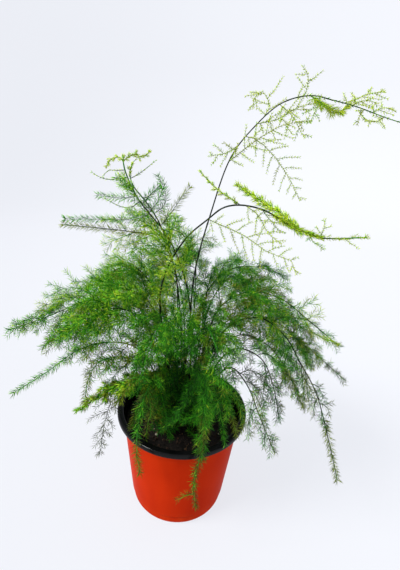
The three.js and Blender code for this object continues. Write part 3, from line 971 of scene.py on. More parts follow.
@dataclass(frozen=True)
class Fibres:
    """Thin bent fibres: how many, their build, and the range of each thing that varies among them."""

    count: int = 36
    sides: int = 4
    points: int = 7
    edge_gap: float = 6.0
    rise: float = 0.35
    reaches: Pair = (1.5, 4.5)
    slopes: Pair = (-0.1, 0.2)
    bends: Pair = (-0.5, 0.5)
    radii: Pair = (0.14, 0.3)
    tones: Pair = (0.2, 0.7)


@dataclass(frozen=True)
class PottingSoil:
    """The soil that fills the pot, its crumbled top, and the loose bits that lie on it.

    A swell is a size of wave and its share of the relief. By the wall, over calm_width, the waves sink
    to the calm share. The brim is two corners, in from the edge's radius and down from the level.
    """

    pot: NurseryPot
    level: float = 89.0
    relief: float = 1.2
    gap: float = 0.3
    rings: int = 60
    columns: int = 180
    swells: tuple[Pair, ...] = ((19, 0.9), (7, 0.75), (3.2, 0.45), (1.5, 0.28))
    calm: float = 0.35
    calm_width: float = 3.0
    brim: tuple[Pair, ...] = ((-0.2, -1.8), (0, -0.4))
    crumbs: Lumps = Lumps(900, (0.8, 3.4), (0.0, 0.4))
    chips: Lumps = Lumps(75, (1.6, 4.2), (0.3, 0.62))
    grains: Lumps = Lumps(30, (1.6, 3.4), (0.86, 0.98))
    fibres: Fibres = Fibres()

    def edge_radius(self) -> float:
        """The radius of the soil's top."""
        return float(self.pot.radius(self.level)) - self.pot.wall - self.gap

    def height(self, x: Array, y: Array) -> Array:
        """Works out the top: noise in waves that grow finer and lower, and calmer near the pot's wall.

        Args:
            x, y: where it is wanted.

        Returns:
            Its heights.
        """
        waves = sum(share * value_noise(x, y, cell, SEED + step)
                    for step, (cell, share) in enumerate(self.swells))
        faded = np.clip((self.edge_radius() - np.hypot(x, y)) / self.calm_width, 0, 1)
        return self.level + self.relief * waves * (self.calm + (1 - self.calm) * faded)

    def build(self, finish: DampSoil) -> bpy.types.Object:
        """Turns the soil's profile and shapes its top.

        Args:
            finish: its finish.

        Returns:
            The soil.
        """
        pot, edge = self.pot, self.edge_radius()
        floor = pot.wall + self.gap
        low = pot.foot_inset_radius - pot.wall - self.gap
        bend = pot.foot_round - floor
        under_brim, brim = np.array(self.brim) + (edge, self.level)
        sides = np.concatenate((
            straight((0, floor), (low - bend, floor), steps=4),
            arc((low - bend, pot.foot_round), bend, -90, 0, steps=5)[1:],
            straight((low, pot.foot_round), under_brim, steps=10)[1:],
            straight(brim, (0, self.level), self.rings),
        ))
        surface = Surface()
        points, groups = turned(sides, self.columns)
        top = points[:, 2] >= brim[1]
        points[top, 2] = self.height(points[top, 0], points[top, 1])
        surface.add(points, *groups)
        return surface.piece("potting_soil_fill", finish.material(), "soil", "potting_soil")

    def strewn(self, chance: np.random.Generator, count: int, inset: float) -> Array:
        """Picks places on the top, evenly strewn.

        Args:
            chance: where the chance comes from.
            count: how many.
            inset: how far they keep from the edge.

        Returns:
            The places.
        """
        radius = (self.edge_radius() - inset) * np.sqrt(chance.uniform(0, 1, count))
        turn = chance.uniform(0, 2 * np.pi, count)
        x, y = radius * np.cos(turn), radius * np.sin(turn)
        return np.stack((x, y, self.height(x, y)), -1)

    def add_lumps(self, surface: Surface, chance: np.random.Generator, lumps: Lumps) -> None:
        """Adds lumps: the solid of 20 faces, each corner moved in or out, then flattened, by chance.

        Args:
            surface: what they are added to.
            chance: where the chance comes from.
            lumps: their kind.
        """
        corners, faces = twenty_faces()
        count, (least, greatest) = lumps.count, lumps.sizes
        size = least + (greatest - least) * chance.uniform(0, 1, count) ** lumps.rarity
        uneven = corners * chance.uniform(*lumps.roughness, (count, len(corners), 1))
        shape = uneven * chance.uniform(*lumps.flatness, (count, 1, 3))
        centres = self.strewn(chance, count, lumps.edge_gap) + lumps.lift * size[:, None] * UP
        points = centres[:, None] + size[:, None, None] / 2 * shape
        faces = (len(corners) * np.arange(count)[:, None, None] + faces).reshape(-1, 3)
        tone = chance.uniform(*lumps.tones, count)[:, None] + LUMP_SPREAD * corners[:, 0]
        up = np.broadcast_to(0.5 + LUMP_RISE * corners[:, 2], tone.shape)
        maps = np.stack((np.clip(tone, *LUMP_TONES), up), -1).reshape(-1, 2)
        surface.add(points, (faces, maps[faces]))

    def add_fibres(self, surface: Surface, chance: np.random.Generator) -> None:
        """Adds fibres: middle + reach (s heading + s^2 bend), with s from -1 to 1, kept over the soil.

        Args:
            surface: what they are added to.
            chance: where the chance comes from.
        """
        kind, count = self.fibres, self.fibres.count
        middles = self.strewn(chance, count, kind.edge_gap)
        turn = chance.uniform(0, 2 * np.pi, count)
        reach = chance.uniform(*kind.reaches, count)
        heading = np.stack((np.cos(turn), np.sin(turn), chance.uniform(*kind.slopes, count)), -1)
        bend = np.cross(heading, UP) * chance.uniform(*kind.bends, (count, 1))
        steps = np.linspace(-1, 1, kind.points)[:, None]
        bent = steps * heading[:, None] + steps**2 * bend[:, None]
        lines = middles[:, None] + reach[:, None, None] * bent
        lines[..., 2] = np.maximum(lines[..., 2], self.height(lines[..., 0], lines[..., 1])) + kind.rise
        radii = np.broadcast_to(chance.uniform(*kind.radii, (count, 1)), lines.shape[:2])
        tones = np.broadcast_to(chance.uniform(*kind.tones, (count, 1)), lines.shape[:2])
        add_tubes(surface, lines, radii, tones, kind.sides)

    def strew(self, finish: Bits) -> bpy.types.Object:
        """Strews crumbs, bark chips, pale grains and thin fibres over the top.

        Args:
            finish: their finish.

        Returns:
            The piece that holds them all.
        """
        chance = np.random.default_rng(SEED)
        surface = Surface()
        for lumps in (self.crumbs, self.chips, self.grains):
            self.add_lumps(surface, chance, lumps)
        self.add_fibres(surface, chance)
        return surface.piece("soil_crumbs", finish.material(), "soil")


# Foliage


def spline(points: Array, steps: int = 24) -> Array:
    """A fine polyline along a smooth curve through some points.

    Each stretch is the cubic whose headings at its ends come from the three points about that end, with
    the square roots of the distances as times; the ends are extended straight on.

    Args:
        points: what it goes through.
        steps: how many steps a stretch has.

    Returns:
        The points of the steps, and the last point.
    """
    points = np.asarray(points, float)
    padded = np.vstack((2 * points[0] - points[1], points, 2 * points[-1] - points[-2]))
    before, start, end, after = padded[:-3], padded[1:-2], padded[2:-1], padded[3:]
    first = np.sqrt(np.linalg.norm(start - before, axis=1, keepdims=True))
    middle = np.sqrt(np.linalg.norm(end - start, axis=1, keepdims=True))
    last = np.sqrt(np.linalg.norm(after - end, axis=1, keepdims=True))
    step = (end - start) / middle
    leave = ((start - before) / first - (end - before) / (first + middle) + step) * middle
    arrive = (step - (after - start) / (middle + last) + (after - end) / last) * middle
    share = np.linspace(0, 1, steps + 1)[:-1, None, None]
    cubic = ((2 * start - 2 * end + leave + arrive) * share**3
             + (3 * end - 3 * start - 2 * leave - arrive) * share**2 + leave * share + start)
    return np.vstack((cubic.transpose(1, 0, 2).reshape(-1, 3), points[-1:]))


def evenly(line: Array, count: int) -> Array:
    """Respaces a line.

    Args:
        line: its points.
        count: how many points are wanted.

    Returns:
        The same line with that many evenly spaced points.
    """
    along = np.concatenate(((0,), np.cumsum(np.linalg.norm(np.diff(line, axis=0), axis=1))))
    wanted = np.linspace(0, along[-1], count)
    return np.stack([np.interp(wanted, along, line[:, axis]) for axis in range(3)], -1)


def length_of(lines: Array) -> Array:
    """The length of each line."""
    return np.linalg.norm(np.diff(lines, axis=-2), axis=-1).sum(-1)


def along(lines: Array, which: Array, share: Array) -> tuple[Array, Array]:
    """Finds places and headings on lines of evenly spaced points.

    Args:
        lines: the lines.
        which: for each place, the line that it is on.
        share: for each place, its share of the line's length.

    Returns:
        The places and the headings.
    """
    place = np.clip(share, 0, 1) * (lines.shape[1] - 1)
    step = np.minimum(place.astype(int), lines.shape[1] - 2)
    rest = (place - step)[:, None]
    start, end = lines[which, step], lines[which, step + 1]
    return start + rest * (end - start), unit(end - start)


def spaced(lengths: Array, gap: float, first: float = 0.6) -> tuple[Array, Array, Array]:
    """Evenly spaced stations on lines of some lengths.

    Args:
        lengths: the lengths.
        gap: how far apart the stations are.
        first: how many gaps the first one is from the start.

    Returns:
        For each station, which line it is on, its number on that line, and its share of the length.
    """
    counts = np.floor(lengths / gap).astype(int)
    which = np.repeat(np.arange(len(lengths)), counts)
    number = np.arange(len(which)) - np.repeat(np.cumsum(counts) - counts, counts)
    return which, number, (number + first) / np.maximum(counts[which], 1)


@dataclass(frozen=True)
class Room:
    """Where foliage may be: clear of the pot and its soil, and within reach of the solids."""

    pot: NurseryPot
    soil: float
    reach: float = 1.5
    soil_gap: float = 1.0
    lip_gap: float = 0.6
    wall_gap: float = 1.0
    floor: float = 1.0

    def holds(self, places: Array) -> Array:
        """Tells which places are free.

        Args:
            places: the places.

        Returns:
            Whether each is.
        """
        around = np.hypot(places[..., 0], places[..., 1])
        height = places[..., 2]
        inner = self.pot.radius(height) - self.pot.wall
        inside = (around < inner - self.wall_gap) & (height > self.soil + self.soil_gap)
        above = height > self.pot.height + self.lip_gap
        beside = around > self.pot.lip_radius + self.lip_gap
        low, high = (np.array(corner) / MM for corner in CAD_BOX)
        boxed = ((places > low - self.reach) & (places < high + self.reach)).all(-1)
        return (above | beside | inside) & boxed & (height > self.floor)


@dataclass(frozen=True)
class Look:
    """How a stem's needles differ from the usual: a tone that is added, partly the stem's own colour
    and partly painted light and shade, and the share that is olive.
    """

    shade: float = 0.0
    olive: float = 0.08


@dataclass(frozen=True)
class Variation:
    """How unevenly foliage grows: the reach or spread of each chance, and least and greatest factors."""

    needle_turn: float = 0.3
    needle_lean: float = 8.0
    needle_length: Pair = (0.76, 1.06)
    needle_width: Pair = (0.85, 1.15)
    needle_tone: float = 0.12
    spray_tone: float = 0.07
    branchlet_lean: float = 9.0
    branchlet_tilt: float = 0.16
    branchlet_length: Pair = (0.75, 1.12)


@dataclass(frozen=True)
class AgeingAndShade:
    """Where needles get painted shade inside the crown, and are more often olive: low and outside."""

    crown_radius: float = 50.0
    crown_fade: float = 1.2
    crown_top: float = 205.0
    crown_depth: float = 70.0
    crown_shade: float = 0.2
    outside_from: float = 55.0
    outside_width: float = 60.0
    low_from: float = 185.0
    low_depth: float = 80.0
    lowest_from: float = 125.0
    lowest_depth: float = 60.0
    olive_share: float = 0.6

    def shade(self, places: Array) -> Array:
        """Works out how much painted shade darkens needles inside the crown.

        Args:
            places: where they are.

        Returns:
            What is taken from their tones.
        """
        around, height = np.hypot(places[:, 0], places[:, 1]), places[:, 2]
        inside = np.clip(self.crown_fade - around / self.crown_radius, 0, 1)
        return self.crown_shade * inside * np.clip((self.crown_top - height) / self.crown_depth, 0, 1)

    def olive(self, places: Array) -> Array:
        """Works out how many more needles are olive.

        Args:
            places: where they are.

        Returns:
            The share that is added.
        """
        around, height = np.hypot(places[:, 0], places[:, 1]), places[:, 2]
        outside = np.clip((around - self.outside_from) / self.outside_width, 0, 1)
        low = np.clip((self.low_from - height) / self.low_depth, 0, 1)
        lowest = np.clip((self.lowest_from - height) / self.lowest_depth, 0, 1)
        return self.olive_share * (outside * low + lowest)


VARIATION = Variation()
AGEING_AND_SHADE = AgeingAndShade()
SPRAY_SIDES = 3


@dataclass(frozen=True)
class Furnishing:
    """What a spray carries: branchlets in its plane, one side and then the other, and needles in whorls.

    Lengths are in millimetres and leans in degrees from the spray's or branchlet's own heading. A
    branchlet is at most so large a share of its spray, and its size follows the stops of the taper:
    shares of the spray, each with a factor. Its bend and sag are shares of its length. The drops say
    how much less needles lean, and how much shorter they are, at the tip, and tip_tone how much paler.
    """

    needle: float
    lean: float
    whorl_gap: float
    whorl: int
    width: float
    tone: float
    wood: float
    branchlet_gap: float = 4.0
    branchlet: float = 0.0
    branchlet_lean: float = 50.0
    radius: float = 0.42
    tip_radius: float = 0.15
    branchlet_radii: Pair = (0.24, 0.12)
    branchlet_share: float = 0.42
    branchlet_taper: tuple[Pair, ...] = ((0, 0.5), (0.2, 0.92), (0.5, 1), (1, 0.25))
    branchlet_points: int = 3
    branchlet_bend: float = 0.22
    branchlet_sag: float = 0.06
    whorl_shift: float = 0.04
    lean_drop: float = 0.25
    length_drop: float = 0.25
    tip_tone: float = 0.04
    olive_wood: bool = False

    def branchlets(self, sprays: Array, beside: Array, chance: np.random.Generator) -> Array:
        """Grows the branchlets: each starts at the lean from the spray and bends forward along it.

        Args:
            sprays: the sprays' lines.
            beside: for each spray, another heading in the plane of its branchlets.
            chance: where the chance comes from.

        Returns:
            The branchlets' lines.
        """
        lengths = length_of(sprays)
        which, number, share = spaced(lengths, self.branchlet_gap)
        place, heading = along(sprays, which, share)
        # The small part of ASIDE gives a plane also where the two headings are one.
        flat = unit(np.cross(sprays[:, -1] - sprays[:, 0], beside) + 0.02 * ASIDE)[which]
        side = np.where(number % 2, 1.0, -1.0)[:, None] * unit(np.cross(flat, heading))
        uneven = chance.uniform(-VARIATION.branchlet_lean, VARIATION.branchlet_lean, len(which))
        lean = np.radians(self.branchlet_lean + uneven)[:, None]
        tilt = chance.normal(0, VARIATION.branchlet_tilt, (len(which), 1))
        out = np.cos(lean) * heading + np.sin(lean) * side + tilt * flat
        longest = np.minimum(self.branchlet, self.branchlet_share * lengths[which])
        taper = np.interp(share, *zip(*self.branchlet_taper))
        reach = longest * taper * chance.uniform(*VARIATION.branchlet_length, len(which))
        step = np.linspace(0, 1, self.branchlet_points)[:, None]
        bend = self.branchlet_bend * heading - self.branchlet_sag * UP
        bent = step * unit(out)[:, None] + step**2 * bend[:, None]
        return place[:, None] + reach[:, None, None] * bent

    def needles(self, surface: Surface, lines: Array, shade: Array, olive: float, room: Room,
                chance: np.random.Generator) -> None:
        """Sets whorls of needles along lines, each whorl turned by the golden angle from the last.

        A needle's heading is cos(lean) times the line's and sin(lean) times its own way out from it.

        Args:
            surface: what they are added to.
            lines: the lines.
            shade: a tone for each line, partly painted light and shade, added to the furnishing's own.
            olive: the share of lines with olive needles where nothing else makes them so.
            room: where needles may be.
            chance: where the chance comes from.
        """
        which, number, share = spaced(length_of(lines) + 0.5 * self.whorl_gap, self.whorl_gap)
        which, number, share = (np.repeat(column, self.whorl) for column in (which, number, share))
        place, heading = along(lines, which, share + self.whorl_shift)
        total = len(which)
        turn = number * GOLDEN_TURN + np.arange(total) * 2 * np.pi / self.whorl
        turn += chance.normal(0, VARIATION.needle_turn, total)
        across = unit(np.cross(heading, ASIDE))
        radial = np.cos(turn)[:, None] * across + np.sin(turn)[:, None] * np.cross(heading, across)
        uneven = chance.uniform(-VARIATION.needle_lean, VARIATION.needle_lean, total)
        lean = np.radians(self.lean * (1 - self.lean_drop * share) + uneven)[:, None]
        out = np.cos(lean) * heading + np.sin(lean) * radial
        shorter = 1 - self.length_drop * share
        lengths = self.needle * shorter * chance.uniform(*VARIATION.needle_length, total)
        kept = room.holds(place + lengths[:, None] * out) & room.holds(place)
        tones = self.tone + shade[which] + chance.normal(0, VARIATION.needle_tone, total)
        tones += self.tip_tone * share
        # Painted shade: needles low inside the crown are made darker.
        tones -= AGEING_AND_SHADE.shade(place)
        widths = self.width * chance.uniform(*VARIATION.needle_width, total)
        across = unit(np.cross(out, chance.normal(0, 1, (total, 3))))
        faded = chance.uniform(0, 1, len(lines))[which] < olive + AGEING_AND_SHADE.olive(place)
        needles = (place, out, across, lengths, widths, tones, faded)
        add_needles(surface, *(column[kept] for column in needles))

    def furnish(self, surface: Surface, sprays: Array, beside: Array, look: Look, room: Room,
                chance: np.random.Generator) -> None:
        """Adds the branchlets and needles of some sprays.

        Args:
            surface: what they are added to.
            sprays: the sprays' lines.
            beside: for each spray, another heading in the plane of its branchlets.
            look: how this stem's needles differ.
            room: where foliage may be.
            chance: where the chance comes from.
        """
        # The stem's shade is partly its own colour and partly painted light and shade; each spray adds
        # some at random.
        shades = look.shade + chance.normal(0, VARIATION.spray_tone, len(sprays))
        self.needles(surface, sprays, shades, look.olive, room, chance)
        if not self.branchlet:
            return
        twigs = self.branchlets(sprays, beside, chance)
        owner = spaced(length_of(sprays), self.branchlet_gap)[0]
        kept = room.holds(twigs).all(-1)
        twigs, owner = twigs[kept], owner[kept]
        radii = np.broadcast_to(np.linspace(*self.branchlet_radii, twigs.shape[1]), twigs.shape[:2])
        tones = np.full(radii.shape, self.wood + look.shade)
        add_tubes(surface, twigs, radii, tones, SPRAY_SIDES, self.olive_wood)
        self.needles(surface, twigs, shades[owner], look.olive, room, chance)


class Habit(Enum):
    """How a spray grows."""

    PLUME = Furnishing(needle=7.0, lean=58, whorl_gap=1.8, whorl=4, width=0.48, tone=0.53, wood=0.3,
                       branchlet=16.0, branchlet_gap=5.6)
    AIRY = Furnishing(needle=6.6, lean=56, whorl_gap=2.2, whorl=4, width=0.46, tone=0.47, wood=0.2,
                      branchlet=15.0, branchlet_gap=6.4)
    PLAIN = Furnishing(needle=7.6, lean=58, whorl_gap=1.3, whorl=5, width=0.4, tone=0.46, wood=0.5)
    CREST = Furnishing(needle=6.4, lean=46, whorl_gap=2.0, whorl=3, width=0.5, tone=0.73, wood=0.36,
                       branchlet=10.0, branchlet_gap=3.8, branchlet_lean=42)
    FEATHER = Furnishing(needle=3.0, lean=48, whorl_gap=1.9, whorl=3, width=0.62, tone=0.88, wood=0.5,
                         branchlet=14.5, branchlet_gap=4.4, branchlet_lean=60, radius=0.34,
                         olive_wood=True)
    BRUSH = Furnishing(needle=6.8, lean=40, whorl_gap=1.1, whorl=5, width=0.58, tone=0.88, wood=0.6,
                       branchlet=6.0, branchlet_gap=3.6, branchlet_lean=32)
    WISP = Furnishing(needle=7.6, lean=62, whorl_gap=1.4, whorl=5, width=0.54, tone=0.5, wood=0.2,
                      radius=0.36)
    BARE = Furnishing(needle=3.2, lean=40, whorl_gap=2.4, whorl=2, width=0.56, tone=0.8, wood=0.06,
                      radius=0.38)
    TUFT = Furnishing(needle=3.4, lean=34, whorl_gap=1.2, whorl=4, width=0.54, tone=0.85, wood=0.4,
                      branchlet=3.0, branchlet_gap=3.2, branchlet_lean=40, olive_wood=True)


@dataclass(frozen=True)
class Fan:
    """Side sprays on a stretch of a stem, to its left and right in turn, longest in the middle.

    The stretch is from start to end, as shares of the stem's length, and reach is the longest of its
    count of sprays. Between one and the next stand some more, turned by the golden angle, and below the
    stretch so many go on down the stem. The parts of a spray's heading are forward, sideways and rise.
    Its tip is outward along that heading, turned on along the stem, and lower by the droop, as shares
    of its length. The lengths swell and fade in a half wave that starts at onset, and past tail_from
    they lose the share that is the tail.
    """

    start: float
    end: float
    count: int
    reach: float
    droop: float
    habit: Habit = Habit.PLUME
    between: int = 2
    tail: float = 0.45
    forward: float = 0.6
    sideways: float = 0.8
    rise: float = 0.3
    outward: float = 0.8
    turned: float = 0.25
    below: int = 6
    shortest: float = 0.3
    onset: float = 0.15
    tail_from: float = 0.55
    tail_width: float = 0.3
    uneven: float = 0.18


@dataclass(frozen=True)
class Twig:
    """One side twig: where it leaves the stem, as a share of its length, how it grows, and its route."""

    share: float
    habit: Habit
    route: tuple[Triple, ...]


@dataclass(frozen=True)
class Stretch:
    """A stretch of a stem, by shares of its length, that is itself furnished like a spray."""

    start: float
    end: float
    habit: Habit


@dataclass(frozen=True)
class Stem:
    """A kind of stem: its finish's slot, its radius and tone at foot and tip, and how late it greens."""

    slot: str
    radii: Pair
    tones: Pair
    lateness: float = 12.0


class Age(Enum):
    """How old a stem is."""

    GROWN = Stem("bush_foliage", (0.85, 0.32), (0.06, 0.34))
    YOUNG = Stem("young_foliage", (1.0, 0.45), (0.03, 0.5))
    TWIN = Stem("bush_foliage", (0.9, 0.4), (0.03, 0.5))
    SLENDER = Stem("young_foliage", (1.0, 0.28), (0.03, 0.26), 5.0)
    FRESH = Stem("bush_foliage", (0.7, 0.3), (0.22, 0.44), 1.0)


@dataclass(frozen=True)
class LeafyStem:
    """A stem from the soil up, with all that grows on it.

    It stands on its foot, upright through the buried heights, and then follows its route. A spray is
    kept where more than least_free of it has room. The greening is how far the tone of its wood has
    gone, at its tip, towards that of the needles. Every node_gap the stem is thicker by the bulge.
    """

    name: str
    foot: Pair
    route: tuple[Triple, ...]
    fan: Fan | None = None
    twigs: tuple[Twig, ...] = ()
    age: Age = Age.GROWN
    dressed: tuple[Stretch, ...] = (Stretch(0.86, 1, Habit.PLUME),)
    look: Look = Look()
    buried: tuple[float, ...] = (76.0, 92.0, 98.0)
    step: float = 3.0
    spray_points: int = 9
    stem_sides: int = 6
    least_free: float = 0.6
    greening: float = 0.4
    node_gap: float = 27.0
    node_width: float = 1.6
    node_bulge: float = 0.22

    def line(self) -> Array:
        """The stem's own line, from below the soil to its tip."""
        return spline([(*self.foot, height) for height in self.buried] + list(self.route))

    def swell(self, length: float, count: int) -> Array:
        """Works out the radius at each point: it tapers, with a slight bulge at each node of the stem.

        Args:
            length: the stem's length.
            count: how many points it has.

        Returns:
            The radii.
        """
        low, high = self.age.value.radii
        share = np.linspace(0, 1, count)
        off_node = (share * length) % self.node_gap - self.node_gap / 2
        bulge = np.exp(-(off_node / self.node_width) ** 2)
        return (low + (high - low) * share) * (1 + self.node_bulge * bulge)

    def fan_sprays(self, stem: Array, index: int) -> Array:
        """Grows the fan's sprays, which vary in length and lift by the golden ratio.

        A spray bends along the curve root + t(4m - 3r - e) + t^2(2r + 2e - 4m), with r, m and e its
        root, middle and end.

        Args:
            stem: the stem's line.
            index: the stem's number, which its variation comes from.

        Returns:
            The sprays' lines.
        """
        fan = self.fan
        parts = fan.between + 1
        numbers = np.arange(-parts * fan.below, parts * (fan.count - 1) + 1) / parts
        share = numbers / (fan.count - 1)
        where = fan.start + (fan.end - fan.start) * share
        root, ahead = along(stem[None], np.zeros(len(share), int), where)

        phase = np.clip(fan.onset + (1 - fan.onset) * share, fan.onset, 1)
        swell = fan.shortest + (1 - fan.shortest) * np.sin(np.pi * phase)
        tail = 1 - fan.tail * np.clip((share - fan.tail_from) / fan.tail_width, 0, 1)
        vary = 2 * ((GOLDEN_RATIO * numbers + LENGTH_START * index) % 1) - 1
        length = (fan.reach * swell * tail * (1 + fan.uneven * vary))[:, None]

        reach = np.array(self.route[-1][:2]) - self.foot
        heading = unit(np.append(reach, 0.0))
        side = np.array((-heading[1], heading[0], 0.0))
        # Sprays with whole numbers go to the left and right in turn, and the others stand between them.
        between = np.abs(numbers - np.round(numbers)) > 0.1
        left = np.round(numbers) % 2 < 0.5
        turn = np.where(between, parts * numbers * GOLDEN_TURN, np.pi * left)[:, None]
        around = np.cos(turn) * side + np.sin(turn) * unit(np.cross(ahead, side))
        lift = (2 * ((GOLDEN_RATIO * numbers + LIFT_START * index + 0.5) % 1) - 1)[:, None]
        out = unit(fan.forward * ahead + fan.sideways * around + fan.rise * lift * UP)

        middle = root + 0.5 * length * out
        tip = root + fan.outward * length * out + fan.turned * length * ahead - fan.droop * length * UP
        t = np.linspace(0, 1, self.spray_points)[:, None, None]
        lines = root + t * (4 * middle - 3 * root - tip) + t**2 * (2 * root + 2 * tip - 4 * middle)
        return lines.transpose(1, 0, 2)

    def sprays(self, stem: Array, index: int) -> list[tuple[Furnishing, Array, Array]]:
        """Gathers the twigs and the fan's sprays in groups that grow alike.

        Args:
            stem: the stem's line.
            index: the stem's number.

        Returns:
            For each group, its furnishing, its lines, and the stem's heading at each line's root.
        """
        groups: dict[Habit, list[Array]] = {}
        for twig in self.twigs:
            root = along(stem[None], np.zeros(1, int), np.array((twig.share,)))[0]
            line = evenly(spline(np.vstack((root, twig.route))), self.spray_points)
            groups.setdefault(twig.habit, []).append(line)
        if self.fan:
            groups.setdefault(self.fan.habit, []).extend(self.fan_sprays(stem, index))
        found = []
        for habit, lines in groups.items():
            lines = np.array(lines)
            nearest = np.linalg.norm(stem[None] - lines[:, :1], axis=-1).argmin(1)
            found.append((habit.value, lines, unit(np.gradient(stem, axis=0))[nearest]))
        return found

    def build(self, index: int, room: Room, material: bpy.types.Material) -> bpy.types.Object:
        """Grows the stem and dresses it.

        Args:
            index: its number, which its variation comes from.
            room: where its foliage may be.
            material: the greenery.

        Returns:
            The piece, which stands for the stem's solid.
        """
        chance = np.random.default_rng(SEED + index)
        age = self.age.value
        fine = self.line()
        length = float(length_of(fine))
        stem = evenly(fine, int(length / self.step) + 2)
        low, high = age.tones
        tones = low + (high - low) * np.linspace(0, 1, len(stem)) ** age.lateness
        surface = Surface()
        add_tubes(surface, stem[None], self.swell(length, len(stem))[None], tones[None], self.stem_sides)
        for stretch in self.dressed:
            part = stem[int(stretch.start * len(stem)):math.ceil(stretch.end * len(stem))]
            part = evenly(part, 2 * self.spray_points)[None]
            beside = np.cross(part[:, -1] - part[:, 0], UP)
            stretch.habit.value.furnish(surface, part, beside, self.look, room, chance)
        for furnishing, lines, beside in self.sprays(stem, index):
            # A spray's first two points are by the stem, which may be close to the soil or the lip.
            kept = room.holds(lines[:, 2:]).mean(-1) > self.least_free
            lines, beside = lines[kept], beside[kept]
            count = lines.shape[1]
            green = (1 - self.greening) * furnishing.wood + self.greening * furnishing.tone
            radii = np.linspace(furnishing.radius, furnishing.tip_radius, count)
            # The stem's shade, partly painted light and shade, is added to its sprays' wood.
            woods = np.linspace(furnishing.wood, green, count) + self.look.shade
            radii, woods = (np.broadcast_to(row, lines.shape[:2]) for row in (radii, woods))
            add_tubes(surface, lines, radii, woods, SPRAY_SIDES, furnishing.olive_wood)
            furnishing.furnish(surface, lines, beside, self.look, room, chance)
        return surface.piece(f"{self.name}_foliage", material, age.slot, self.name)


